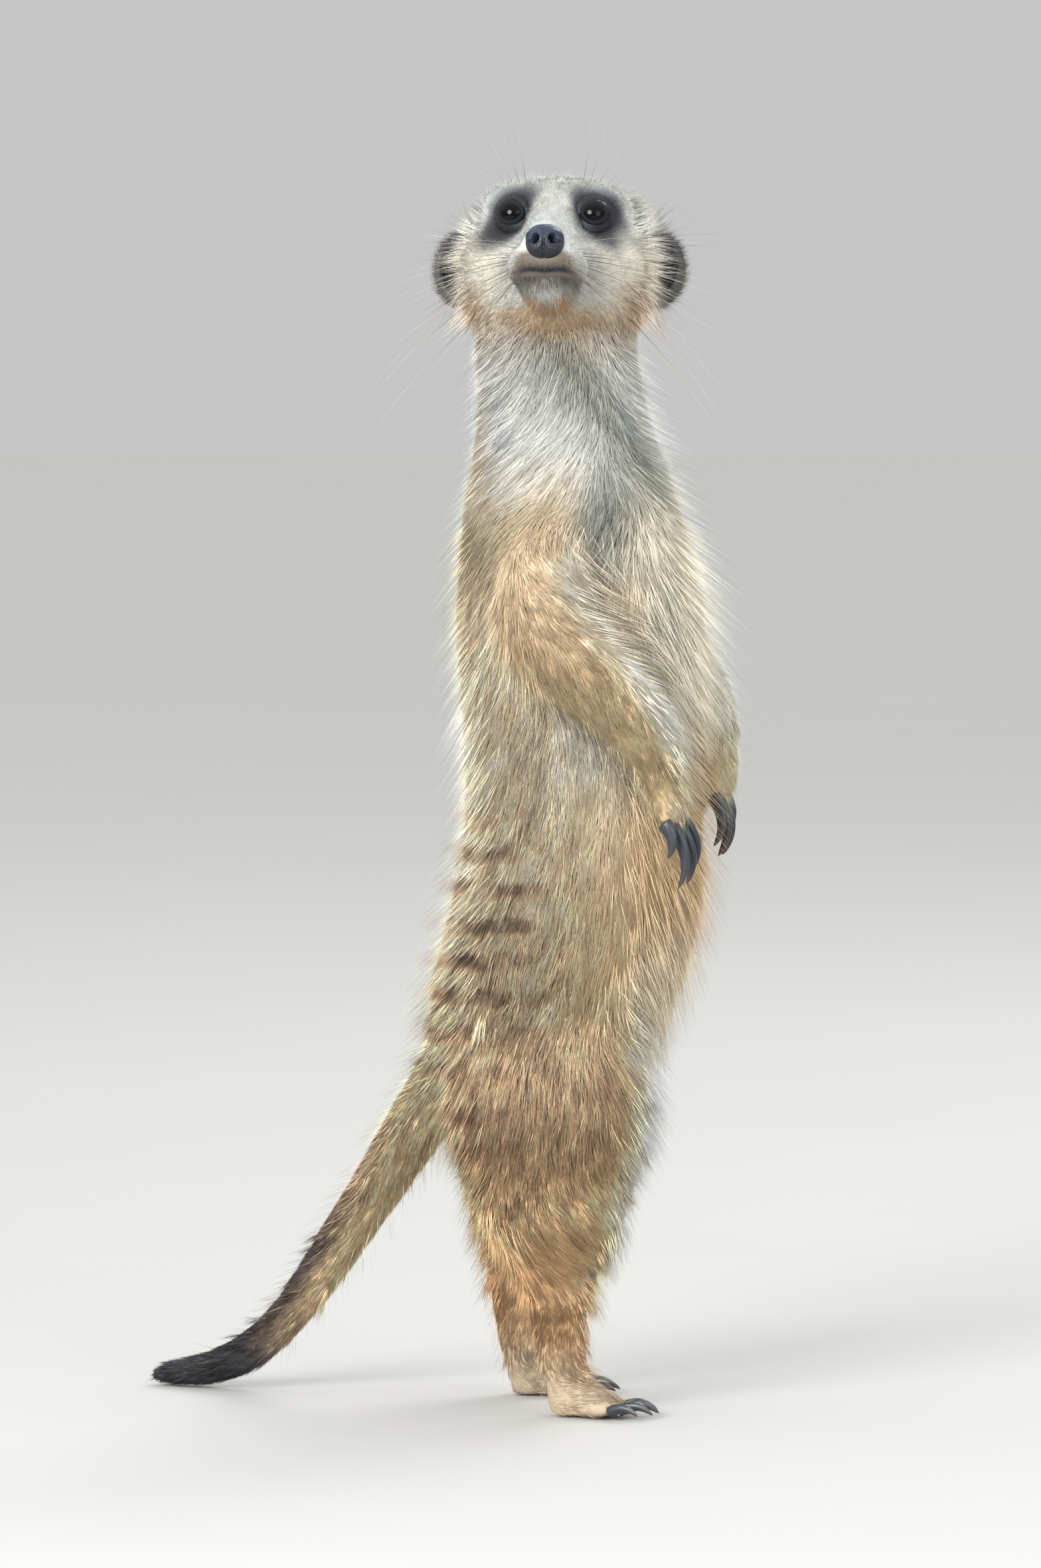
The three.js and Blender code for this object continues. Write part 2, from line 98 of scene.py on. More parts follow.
# ---------------------------------------------------------------- numbers
def unit(vectors):
    """Vectors brought to length one."""
    vectors = np.asarray(vectors, float)
    return vectors / np.maximum(np.linalg.norm(vectors, axis=-1, keepdims=True), 1e-9)


def ramp(low, high, value):
    """0 below low and 1 above high, with a smooth rise between them. low may be the larger one."""
    t = np.clip((value - low) / (high - low), 0, 1)
    return t * t * (3 - 2 * t)


def bell(value, width):
    """1 where the value is 0, falling away smoothly on both sides."""
    return np.exp(-((value / width) ** 2))


def dot(a, b):
    """The dot product of each pair of vectors."""
    return (a * b).sum(-1)


def turned(vectors, axes, angle):
    """Unit vectors turned by an angle round unit axes that stand square to them."""
    return vectors * np.cos(angle)[:, None] + np.cross(axes, vectors) * np.sin(angle)[:, None]


def nearest_of(points):
    """A search for the nearest of some points: it takes places and gives their indices."""
    tree = kdtree.KDTree(len(points))
    for i, point in enumerate(points.tolist()):
        tree.insert(point, i)
    tree.balance()
    return lambda places: np.array([tree.find(place)[1] for place in places.tolist()], np.int32)


class Ripple:
    """Smooth seeded noise between about -1 and 1 with waves of a given size in millimetres."""

    WAVES = 18

    def __init__(self, size, seed):
        rng = np.random.default_rng(seed)
        heading = unit(rng.normal(size=(self.WAVES, 3)))
        self.waves = heading * (2 * math.pi / size) * rng.uniform(0.6, 1.5, (self.WAVES, 1))
        self.phases = rng.uniform(0, 2 * math.pi, self.WAVES)

    def __call__(self, points):
        return np.sin(points @ self.waves.T + self.phases).sum(1) / math.sqrt(self.WAVES)


# ---------------------------------------------------------------- places taken from the solids
def node_points(name):
    """The points of a solid, in millimetres."""
    mesh = frame["nodes"][name].data
    points = np.zeros(len(mesh.vertices) * 3, np.float32)
    mesh.vertices.foreach_get("co", points)
    return points.reshape(-1, 3).astype(float) / MM


def node_middle(name):
    """The middle of a solid's box, in millimetres."""
    low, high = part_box(name)
    return np.array((low + high) / 2) / MM


class HeadFrame:
    """Places in the head: forward, left and up in millimetres from the middle of the skull."""

    EYE = np.array([12.4, 10.1, 3.9])
    NOSE = np.array([34.2, 0, -12.1])

    def __init__(self):
        left_eye, right_eye, nose = (node_middle(n) for n in ("eye_left", "eye_right", "nose"))
        self.left = unit(left_eye - right_eye)
        between = (left_eye + right_eye) / 2
        towards_nose = unit(nose - between)
        over_nose = np.cross(towards_nose, self.left)
        slope = math.atan2(self.EYE[2] - self.NOSE[2], self.NOSE[0] - self.EYE[0])
        self.forward = math.cos(slope) * towards_nose + math.sin(slope) * over_nose
        self.up = math.cos(slope) * over_nose - math.sin(slope) * towards_nose
        self.centre = between - self.EYE[0] * self.forward - self.EYE[2] * self.up
        self.axes = np.array([self.forward, self.left, self.up])

    def local(self, points):
        """Places in the head, from points in the shared frame."""
        return (points - self.centre) @ self.axes.T

    def world(self, places):
        """Points in the shared frame, from places in the head."""
        return np.asarray(places, float) @ self.axes + self.centre

    def turn(self, directions):
        """Directions given as (forward, left, up), in the shared frame."""
        return np.asarray(directions, float) @ self.axes


HEAD = HeadFrame()


class TrunkFrame:
    """Level and angle round the trunk. The body turns between the hips and the head."""

    def __init__(self):
        pairs = (("thigh_left", "thigh_right"), ("upper_arm_left", "upper_arm_right"), ("eye_left", "eye_right"))
        self.turn_levels, self.turns = [], []
        for left, right in pairs:
            across = node_middle(left) - node_middle(right)
            self.turn_levels.append((node_middle(left)[2] + node_middle(right)[2]) / 2)
            self.turns.append(math.atan2(across[1], across[0]) - math.pi / 2)
        middles = np.array([node_middle(name) for name in TRUNK])
        self.levels, self.spine = middles[:, 2], middles[:, :2]

    def centre(self, level):
        """The middle of the trunk at a level."""
        return np.stack([np.interp(level, self.levels, self.spine[:, k]) for k in (0, 1)], -1)

    def facing(self, level):
        """The way that the belly or chest faces at a level."""
        turn = np.interp(level, self.turn_levels, self.turns)
        return np.stack([np.cos(turn), np.sin(turn)], -1)

    def around(self, points):
        """Degrees from the middle of the belly: 0 in front, 180 on the back, positive on the left."""
        level = points[:, 2]
        out = points[:, :2] - self.centre(level)
        facing = self.facing(level)
        ahead = dot(out, facing)
        leftward = out[:, 1] * facing[:, 0] - out[:, 0] * facing[:, 1]
        return np.degrees(np.arctan2(leftward, ahead))


BODY = TrunkFrame()


# ---------------------------------------------------------------- sizes and colours that a user may change
def length(name, description, default):
    """A length property whose default is given in millimetres."""
    return FloatProperty(name=name, description=description, default=default * MM, unit="LENGTH", precision=5)


def share(name, description, default):
    """A property for a part of a whole."""
    return FloatProperty(name=name, description=description, default=default, min=0, subtype="FACTOR")


def tint(name, description, red, green, blue):
    """A colour property whose default is given as screen values from 0 to 255."""
    screen = np.array([red, green, blue]) / 255
    linear = np.where(screen <= 0.04045, screen / 12.92, ((screen + 0.055) / 1.055) ** 2.4)
    return FloatVectorProperty(
        name=name, description=description, subtype="COLOR", size=3, min=0, max=1, default=tuple(linear)
    )


class MeerkatCoat(bpy.types.PropertyGroup):
    """How long, thick and dense the coat is."""

    trunk_length: length("Trunk hair", "Length of the tufts on the back, flanks and belly", 14)
    neck_length: length("Neck hair", "Length of the tufts on the neck", 9)
    head_length: length("Head hair", "Length of the tufts on the crown and cheeks", 5)
    face_length: length("Face hair", "Length of the tufts round the eyes and on the muzzle", 2.4)
    arm_length: length("Arm hair", "Length of the tufts on the arms", 8)
    leg_length: length("Leg hair", "Length of the tufts on the thighs and shanks", 12)
    foot_length: length("Foot hair", "Length of the tufts on the hands and feet", 4)
    tail_length: length("Tail hair", "Length of the tufts on the tail", 8)
    density: share("Density", "Number of tufts, as a share of the full coat", 1)
    clumping: share("Clumping", "How far the ends of neighbouring tufts draw together", 0.55)
    voxel: length("Skin grain", "Size of the faces that the skin is first made of", 1.25)


class MeerkatColours(bpy.types.PropertyGroup):
    """The colours of the coat and of the bare parts."""

    tan: tint("Tan", "Back and shoulders", 229, 206, 176)
    umber: tint("Umber", "Lower back, thighs and the upper side of the tail", 193, 163, 132)
    sand: tint("Sand", "Arms, hands, flanks and feet", 210, 180, 138)
    rust: tint("Rust", "Shanks and the under side of the tail", 188, 145, 98)
    orange: tint("Orange", "Lower cheeks and the spots of the throat", 196, 140, 84)
    throat: tint("Throat", "Under side of the head", 184, 152, 112)
    cream: tint("Cream", "Chest, belly and the front of the limbs", 236, 230, 212)
    white: tint("White", "Bib and face", 214, 217, 214)
    # Grey is the crown's own colour, and painted shade in the hollow of the chest and along the parting of the
    # throat.
    grey: tint("Grey", "Hollow of the chest and the crown", 134, 140, 133)
    muzzle: tint("Muzzle", "Round the nose and the upper lip", 150, 142, 126)
    chin: tint("Chin", "Chin and the corners of the mouth", 124, 122, 112)
    # Brown is also painted shade where the arms lie against the trunk.
    brown: tint("Brown", "Bars of the back and grizzled hair tips", 100, 84, 74)
    patch: tint("Patch", "Dark fur round the eyes", 79, 81, 87)
    dark: tint("Dark", "Ears and the end of the tail", 56, 58, 64)
    leather: tint("Leather", "Nose and lids", 27, 36, 58)


class MeerkatStage(bpy.types.PropertyGroup):
    """Camera and studio."""

    azimuth: FloatProperty(
        name="Azimuth", description="Where the camera stands round the animal", default=math.radians(-85),
        unit="ROTATION",
    )
    elevation: FloatProperty(
        name="Elevation", description="Height of the camera's line of sight", default=math.radians(4), unit="ROTATION"
    )
    distance: FloatProperty(
        name="Distance", description="From the camera to the animal", default=2.996, unit="LENGTH"
    )
    lens: FloatProperty(name="Lens", description="Focal length for a 36 mm sensor", default=265, unit="CAMERA")
    aim: FloatVectorProperty(
        name="Aim", description="The point that the camera looks at", default=(0.00423, -0.02221, 0.1623),
        subtype="XYZ", unit="LENGTH",
    )
    backdrop: tint("Backdrop", "Floor", 168, 168, 166)


def settings(group):
    """One of the groups of properties, as the user has set it."""
    return getattr(bpy.context.scene, f"meerkat_{group}")


def mm(group, name):
    """A length property in millimetres."""
    return getattr(settings(group), name) / MM


def colour(name):
    """A colour property as red, green and blue."""
    return np.array(getattr(settings("colours"), name))


# ---------------------------------------------------------------- the form of the head
def ovoid(places, centre, sizes):
    """Distance to an ovoid, negative inside. Places and sizes are (forward, left, up)."""
    scaled = (places - np.array(centre)) / np.array(sizes)
    depth = np.linalg.norm(scaled, axis=1)
    steep = np.linalg.norm(scaled / np.array(sizes), axis=1)
    return depth * (depth - 1) / np.maximum(steep, 1e-6)


def taper(places, start, end, start_radius, end_radius):
    """Distance to a tapering rod with round ends, negative inside."""
    start, end = np.array(start, float), np.array(end, float)
    run = end - start
    t = np.clip((places - start) @ run / (run @ run), 0, 1)
    near = start + t[:, None] * run
    return np.linalg.norm(places - near, axis=1) - (start_radius + (end_radius - start_radius) * t)


def melt(a, b, blend):
    """The nearer of two distances, with a soft change over between them."""
    part = np.clip(0.5 + 0.5 * (b - a) / blend, 0, 1)
    return b * (1 - part) + a * part - blend * part * (1 - part)


def both_sides(places):
    """The places with everything on the left, so that one form serves both sides."""
    return np.stack([places[:, 0], np.abs(places[:, 1]), places[:, 2]], 1)


# The eye and its lids: radius of the ball, rise of the cornea, thickness of the lids, depth of their crease,
# thickness and breadth of their rims, and how far the skin goes in behind the ball's surface.
EYE_RADIUS = 4.8
CORNEA = 0.42
LID = 0.5
LID_CREASE = 0.25
LID_RIM = (0.22, 0.6)
BEHIND_LID = 0.8
# Half the width and height of the lid opening, as slopes from the line of gaze, and how square its edge is.
OPENING = np.array([0.78, 0.67])
OPENING_POWERS = np.array([1.75, 2.1])
INNER_CORNER = 1.14
GAZE = unit([0.95, 0.2, -0.2])
NOSE_SIZE = np.array([4.7, 4.95, 4.7])
NOSE_BED = 2.8
MOUTH = {"up": -19.1, "bow": 0.5, "corner": 10.5}
LIP_FOLD = 0.7


def gaze_axes(side):
    """The directions that an eye looks, and across and up from there, as (forward, left, up)."""
    look = unit(GAZE * [1, side, 1])
    outward = unit(np.cross([0, 0, 1], look)) * side
    above = np.cross(look, outward) * side
    return np.array([look, outward, above])


def head_distance(places):
    """Distance to the outside of the coat of the head, negative inside: the crown, with the cheeks, brows, muzzle,
    bridge, lip pads, jaw and nape melted on to it and the sockets of the eyes hollowed out."""
    mirrored = both_sides(places)
    depth = ovoid(places, (-6.5, 0, 2.5), (22.5, 22.9, 18.2))
    depth = melt(depth, ovoid(mirrored, (-3, 13.5, -8.5), (17, 12, 13)), 7)
    depth = melt(depth, ovoid(mirrored, (5.5, 10.5, 9.2), (9.5, 8.5, 5)), 6)
    depth = melt(depth, taper(places, (6, 0, -7), (30, 0, -13.9), 13, 6.6), 9)
    depth = melt(depth, taper(places, (8, 0, 5), (33, 0, -9.2), 7, 4.3), 5)
    depth = melt(depth, ovoid(mirrored, (25.5, 4.6, -15.6), (8, 6.2, 5.2)), 4)
    depth = melt(depth, taper(places, (2, 0, -17), (25, 0, -20.6), 10, 4.2), 5)
    depth = melt(depth, ovoid(places, (-6, 0, -18), (15, 18, 12)), 8)
    return -melt(-depth, ovoid(mirrored, (19.5, 12.7, 1.7), (5.5, 5.5, 5)), 5)


def eye_cone(from_eye, axes):
    """How far a place is from the middle of the lid opening: 1 on the edge, less inside it."""
    seen = from_eye @ axes.T
    spread = seen[:, 1:] / np.maximum(seen[:, :1], 0.3)
    spread[:, 0] /= np.where(spread[:, 0] < 0, INNER_CORNER, 1)
    reach = (np.abs(spread / OPENING) ** OPENING_POWERS).sum(1) ** 0.5
    return np.where(seen[:, 0] > 0.3, reach, 9)


def open_lids(places):
    """Lays the lids on the eyeball and opens them. Places only move towards or away from the middle of the eye."""
    mirror = np.where(places[:, 1:2] < 0, [[1.0, -1.0, 1.0]], 1.0)
    from_eye = places * mirror - HeadFrame.EYE
    reach = np.linalg.norm(from_eye, axis=1)
    cone = eye_cone(from_eye, gaze_axes(1))
    lid = EYE_RADIUS + LID
    over = -melt(-reach, np.full_like(reach, -lid), 1.6)
    over += (lid - over) * ramp(2.1, 1.2, cone)
    over -= LID_CREASE * bell(cone - 1.55, 0.14) * ramp(-0.5, 2, from_eye[:, 2])
    over += (EYE_RADIUS - BEHIND_LID - over) * ramp(1.12, 0.96, cone)
    return (HeadFrame.EYE + from_eye * (over / reach)[:, None]) * mirror


def mouth_line(places):
    """Distance from the line between the lips: nearly level in front, and ending in a corner on each side."""
    side = np.abs(places[:, 1])
    line = MOUTH["up"] + MOUTH["bow"] * np.sin(np.pi * np.minimum(side / MOUTH["corner"], 1)) ** 2
    beyond = np.maximum(side - MOUTH["corner"], 0) + np.maximum(18 - places[:, 0], 0)
    return np.hypot(places[:, 2] - line, beyond)


def settle(points, distance, steps=3, limit=1.5, probe=0.15):
    """Moves points along the slope of a distance, by no more than a limit in each step, until it is zero there."""
    shifts = probe * np.eye(3)
    for _ in range(steps):
        value = distance(points)
        slope = np.stack([(distance(points + s) - distance(points - s)) / (2 * probe) for s in shifts], 1)
        steep = np.maximum((slope * slope).sum(1), 0.15)
        step = slope * (value / steep)[:, None]
        size = np.linalg.norm(step, axis=1, keepdims=True)
        points = points - step * np.minimum(1, limit / np.maximum(size, 1e-9))
    return points


# ---------------------------------------------------------------- meshes as arrays
def linked(name, data):
    """An object for some data, in the scene."""
    made = bpy.data.objects.new(name, data)
    bpy.context.collection.objects.link(made)
    return made


def mesh_object(name, points, faces):
    """A mesh object from points in millimetres and an array of triangles or quads."""
    faces = np.asarray(faces, np.int32)
    mesh = bpy.data.meshes.new(name)
    mesh.vertices.add(len(points))
    mesh.vertices.foreach_set("co", (np.asarray(points) * MM).astype(np.float32).ravel())
    mesh.loops.add(faces.size)
    mesh.loops.foreach_set("vertex_index", faces.ravel())
    mesh.polygons.add(len(faces))
    mesh.polygons.foreach_set("loop_start", np.arange(0, faces.size, faces.shape[1], dtype=np.int32))
    mesh.polygons.foreach_set("use_smooth", np.ones(len(faces), bool))
    mesh.update(calc_edges=True)
    return linked(name, mesh)


def attribute(made, name, values):
    """Writes a number or a colour for each vertex of an object."""
    values = np.asarray(values, np.float32)
    kind, slot = ("FLOAT", "value") if values.ndim == 1 else ("FLOAT_COLOR", "color")
    if values.ndim == 2:
        values = np.column_stack([values, np.ones(len(values), np.float32)])
    layer = made.data.attributes.new(name, kind, "POINT")
    layer.data.foreach_set(slot, values.ravel())


def vertex_array(mesh, field="co"):
    """The places or normals of a mesh's vertices, as an array."""
    values = np.zeros(len(mesh.vertices) * 3, np.float32)
    mesh.vertices.foreach_get(field, values)
    return values.reshape(-1, 3).astype(float)


class Neighbours:
    """Which vertices of a mesh share an edge, for smoothing values over it."""

    def __init__(self, mesh):
        edges = np.zeros(len(mesh.edges) * 2, np.int32)
        mesh.edges.foreach_get("vertices", edges)
        edges = edges.reshape(-1, 2)
        pairs = np.concatenate([edges, edges[:, ::-1]])
        pairs = pairs[np.argsort(pairs[:, 0], kind="stable")]
        self.other = pairs[:, 1]
        self.count = np.bincount(pairs[:, 0], minlength=len(mesh.vertices))
        self.start = np.concatenate([[0], np.cumsum(self.count)[:-1]])

    def mean(self, values):
        """The mean of each vertex's neighbours."""
        total = np.add.reduceat(values[self.other], self.start, axis=0)
        return total / self.count.reshape(-1, *[1] * (values.ndim - 1))

    def smooth(self, values, rounds):
        """The values, drawn half way to the mean of their neighbours in each round."""
        for _ in range(rounds):
            values = values + 0.5 * (self.mean(values) - values)
        return values

    def even_out(self, points, normals, strength, rounds):
        """Smooths a shape where strength is above 0, and gives it back the girth that this takes away."""
        smoothed = points
        for _ in range(rounds):
            smoothed = smoothed + 0.5 * strength[:, None] * (self.mean(smoothed) - smoothed)
        lost = self.smooth(dot(points - smoothed, normals), 40)
        return smoothed + normals * lost[:, None]


# ---------------------------------------------------------------- skin
CLOSING = 0.32


def flesh_union():
    """One closed shell round the fleshy solids, the eyes and the nose, with the thin gaps between them closed."""
    joined = bmesh.new()
    for name in (*FLESH, *SET_IN_FACE):
        part = bmesh.new()
        part.from_mesh(frame["nodes"][name].data)
        bmesh.ops.remove_doubles(part, verts=part.verts, dist=1e-6)
        part.normal_update()
        for vertex in part.verts:
            vertex.co += vertex.normal * CLOSING * MM
        grown = bpy.data.meshes.new(name)
        part.to_mesh(grown)
        part.free()
        joined.from_mesh(grown)
        bpy.data.meshes.remove(grown)
    mesh = bpy.data.meshes.new("skin")
    joined.to_mesh(mesh)
    joined.free()
    shell = linked("skin", mesh)
    remesh = shell.modifiers.new("grain", "REMESH")
    remesh.mode = "VOXEL"
    remesh.voxel_size = settings("coat").voxel
    remesh.adaptivity = 0
    graph = bpy.context.evaluated_depsgraph_get()
    fine = bpy.data.meshes.new_from_object(shell.evaluated_get(graph))
    bpy.data.objects.remove(shell)
    bpy.data.meshes.remove(mesh)
    return fine


def refine(mesh, chosen):
    """Cuts the faces round the chosen vertices into smaller ones."""
    work = bmesh.new()
    work.from_mesh(mesh)
    work.verts.ensure_lookup_table()
    marked = {work.verts[i] for i in np.nonzero(chosen)[0]}
    edges = [e for e in work.edges if e.verts[0] in marked and e.verts[1] in marked]
    bmesh.ops.subdivide_edges(work, edges=edges, cuts=1, use_grid_fill=True)
    work.to_mesh(mesh)
    work.free()
    mesh.update()


def outermost_island(mesh):
    """Drops any closed shell left inside the largest one."""
    work = bmesh.new()
    work.from_mesh(mesh)
    left, islands = set(work.verts), []
    while left:
        front, island = [left.pop()], []
        while front:
            vertex = front.pop()
            island.append(vertex)
            for edge in vertex.link_edges:
                other = edge.other_vert(vertex)
                if other in left:
                    left.remove(other)
                    front.append(other)
        islands.append(island)
    islands.sort(key=len)
    inner = [vertex for island in islands[:-1] for vertex in island]
    bmesh.ops.delete(work, geom=inner, context="VERTS")
    work.to_mesh(mesh)
    work.free()


def region_shares(points, neighbours):
    """How much of each region a point belongs to, with soft borders."""
    corners, faces, owner = [], [], []
    for name in FLESH:
        mesh = frame["nodes"][name].data
        offset = len(corners)
        corners.extend(vertex.co.copy() for vertex in mesh.vertices)
        mesh.calc_loop_triangles()
        for triangle in mesh.loop_triangles:
            faces.append([offset + i for i in triangle.vertices])
            owner.append(REGION[name])
    tree = BVHTree.FromPolygons(corners, faces)
    nearest = [tree.find_nearest(Vector(p))[2] for p in (points * MM).tolist()]
    shares = np.zeros((len(points), len(FLESH)))
    shares[np.arange(len(points)), np.array(owner)[nearest]] = 1
    return neighbours.smooth(shares, 10)


def region_sum(shares, values):
    """A value for each point from one value for each region."""
    return shares @ np.array([values[name] for name in FLESH], float)


def by_part(**parts):
    """One value for each region, from one value for each kind of part."""
    values = {}
    for part, value in parts.items():
        values.update(dict.fromkeys(both(part) if part in PAIRED else [part], value))
    return values


def towards_claws(paw, side):
    """The way from the middle of a hand or foot to its two middle claws."""
    name = f"{paw}_{side}"
    return np.mean([node_middle(f"{name}_claw_{i}") for i in (2, 3)], axis=0) - node_middle(name)


class Skin:
    """The skin: its mesh, and for each vertex the regions, the coat's depth and the way the coat lies."""

    DEPTH = by_part(
        hips=4, belly=4, chest=3.8, neck=3, head=1.5, ear=0.45, upper_arm=2.6, forearm=1.9, forepaw=0.9,
        thigh=3.8, shank=2.6, hind_foot=0.9, tail_base=2, tail_middle=1.7, tail_tip=1.4,
    )

    EVENNESS = by_part(
        hips=1, belly=1, chest=1, neck=0.9, head=0.2, ear=0.06, upper_arm=0.4, forearm=0.25, forepaw=0.04,
        thigh=0.7, shank=0.25, hind_foot=0.05, tail_base=0.25, tail_middle=0.2, tail_tip=0.15,
    )

    def __init__(self):
        self.mesh = mesh = flesh_union()
        outermost_island(mesh)
        forward, leftward, up = HEAD.local(vertex_array(mesh) / MM).T
        refine(mesh, (forward > 6) & (np.abs(leftward) < 26) & (up > -32) & (up < 24))
        from_eye = both_sides(HEAD.local(vertex_array(mesh) / MM)) - HeadFrame.EYE
        refine(mesh, np.linalg.norm(from_eye, axis=1) < 9)
        self.neighbours = Neighbours(mesh)
        self.shape(vertex_array(mesh) / MM)
        self.lay_coat()
        self.paint()

    def put(self, points):
        """Moves the mesh's vertices to points in millimetres."""
        self.mesh.vertices.foreach_set("co", (points * MM).astype(np.float32).ravel())
        self.mesh.update()

    def shape(self, points):
        """Evens out the joints, goes in by the coat's depth, and forms the face, the lids, the lips and the bed of
        the nose."""
        near = self.neighbours
        self.shares = shares = region_shares(points, near)
        self.head = shares[:, REGION["head"]]
        normals = unit(near.smooth(vertex_array(self.mesh, "normal"), 6))
        self.face = ramp(-2, 14, HEAD.local(points)[:, 0]) * self.head
        points = near.even_out(points, normals, region_sum(shares, self.EVENNESS), 90)
        self.depth = region_sum(shares, self.DEPTH) - self.face * 0.95
        self.put(points)
        normals = unit(near.smooth(vertex_array(self.mesh, "normal"), 6))
        points = points - normals * self.depth[:, None]
        hold = ramp(0.35, 0.9, self.head)[:, None]
        inset = HEAD.local(points)
        settled = settle(inset, lambda p: head_distance(p) + self.depth)
        points = HEAD.world(inset + hold * (settled - inset))
        local = HEAD.local(near.smooth(points, 2))
        round_eye = np.linalg.norm(both_sides(local) - HeadFrame.EYE, axis=1) < 10
        local[round_eye] = open_lids(local[round_eye])
        self.lips = np.where(self.head > 0.5, mouth_line(local), 9)
        local[:, 0] -= LIP_FOLD * bell(self.lips, 0.6) * ramp(9, 5, np.abs(local[:, 1]))
        nose_bed = np.linalg.norm((local[:, 1:] - HeadFrame.NOSE[1:]) / NOSE_SIZE[1:], axis=1)
        local[:, 0] -= NOSE_BED * ramp(0.95, 0.6, nose_bed) * ramp(28, 31, local[:, 0])
        self.points = HEAD.world(local)
        self.put(self.points)
        self.mesh.polygons.foreach_set("use_smooth", np.ones(len(self.mesh.polygons), bool))
        self.broad = unit(near.smooth(unit(vertex_array(self.mesh, "normal")), 8))
        self.places = HEAD.local(self.points)
        self.level = self.points[:, 2]
        self.trunk = self.part_share(*TRUNK)
        self.ahead = dot(self.broad[:, :2], BODY.facing(self.level))

    def part_share(self, *parts):
        """How much of each vertex belongs to some parts."""
        return region_sum(self.shares, {**dict.fromkeys(FLESH, 0), **by_part(**dict.fromkeys(parts, 1))})

    def lay_coat(self):
        """Works out which way the coat lies at each vertex."""
        runs = [("neck", "chest"), ("chest", "belly"), ("belly", "hips")]
        for side in SIDES:
            for start, end in (("upper_arm", "forearm"), ("forearm", "forepaw"), ("thigh", "shank")):
                runs.append((f"{start}_{side}", f"{end}_{side}"))
        ways = {start: node_middle(end) - node_middle(start) for start, end in runs}
        ways.update(hips=[0, 0.25, -1], head=[0, 0, 0])
        for side in SIDES:
            ways[f"forepaw_{side}"] = towards_claws("forepaw", side)
            ways[f"shank_{side}"] = [*(node_middle(f"hind_foot_{side}") - node_middle(f"shank_{side}"))[:2] * 0.2, -1]
            ways[f"hind_foot_{side}"] = [0, 0, 0]
            ways[f"ear_{side}"] = HEAD.turn([-0.6, 0.45 * SIDES[side], 0.5])
        base, middle, tip = (node_middle(n) for n in TAIL)
        ways.update(tail_base=middle - base, tail_middle=tip - middle, tail_tip=(tip - middle) * [1, 1, 0.4])
        way = self.shares @ unit([ways[name] for name in FLESH])
        way += self.head[:, None] * self.face_lie()
        for side in SIDES:
            way += self.shares[:, [REGION[f"hind_foot_{side}"]]] * self.foot_lie(side)
        fan = self.part_share("thigh") + self.shares[:, REGION["hips"]] * ramp(112, 96, self.level)
        way[:, :2] += BODY.facing(self.level) * (0.45 * fan * self.ahead)[:, None]
        way += self.neck_lie()
        way = self.neighbours.smooth(way, 12)
        way = unit(way - self.broad * dot(way, self.broad)[:, None])
        swing = 0.16 * Ripple(34, SEED)(self.points) + 0.14 * Ripple(9, SEED + 1)(self.points) * (1 - self.face)
        self.way = turned(way, self.broad, swing)

    def face_lie(self):
        """On the head the coat runs back from the nose, over the crown, and down the throat and cheeks."""
        away = unit(self.places - (HeadFrame.NOSE + [2, 0, 0]))
        forward, _, up = self.places.T
        droop = ramp(8, -14, forward) * ramp(8, -16, up) + 0.9 * ramp(0, -16, forward)
        away[:, 2] -= droop
        return HEAD.turn(unit(away))

    def foot_lie(self, side):
        """Down the back of the foot, then forward to the claws."""
        forward = unit(towards_claws("hind_foot", side) * [1, 1, 0])
        level = ramp(16, 7, self.level)[:, None]
        return forward * level + np.array([0, 0, -1]) * (1 - level)

    def neck_lie(self):
        """On the turned neck the coat sweeps from the throat round to the back."""
        level = self.level
        around = BODY.around(self.points)
        out = unit(self.points[:, :2] - BODY.centre(level))
        sideways = np.stack([-out[:, 1], out[:, 0], np.zeros(len(out))], 1)
        amount = ramp(214, 240, level) * ramp(292, 268, level) * np.sin(np.radians(np.abs(around))) * 0.75
        return sideways * (np.sign(around) * amount * self.trunk)[:, None]

    def paint(self):
        """Colours each vertex, and says how grizzled, bare or barred the coat is there."""
        points, places, level, trunk, ahead = self.points, self.places, self.level, self.trunk, self.ahead
        signed = BODY.around(points)
        around = np.abs(signed)
        broken, patchy = Ripple(13, SEED + 2)(points), Ripple(24, SEED + 3)(points)
        thighs, legs = self.part_share("thigh"), self.part_share("thigh", "shank", "hind_foot")
        arms, hands = self.part_share("upper_arm", "forearm", "forepaw"), self.part_share("forepaw")
        ears, tail = self.part_share("ear"), self.part_share(*TAIL)
        self.colour = np.tile(colour("tan"), (len(points), 1))

        def shade(factor):
            """Lightens or darkens the coat."""
            self.colour *= factor[:, None]

        def tinge(mask, name):
            """Blends one of the colours over the coat, by a share from 0 to 1."""
            mask = np.clip(mask, 0, 1)[:, None]
            self.colour = self.colour * (1 - mask) + colour(name) * mask

        # back, flanks and belly
        shade(1 + 0.04 * patchy)
        wander = around + 9 * patchy
        belly = trunk * ramp(66, 40, wander)
        low = ramp(175, 95, level)
        tinge(trunk * low * ramp(70, 118, wander) * 0.75, "umber")
        tinge(trunk * ramp(160, 110, level) * ramp(40, 62, wander) * ramp(110, 80, wander) * 0.6, "sand")
        tinge(belly, "cream")
        tinge(belly * ramp(176, 158, level) * ramp(112, 130, level) * 0.8, "sand")
        tinge(trunk * ramp(160, 130, level) * ramp(70, 50, wander) * 0.35, "sand")
        tinge(trunk * bell(signed + 62, 24) * ramp(158, 168, level) * ramp(196, 186, level) * 0.95, "cream")
        # Painted shade: brown on the trunk where the arms lie against it, below the shoulders.
        tinge(trunk * arms * 1.6 * ramp(208, 190, level), "brown")
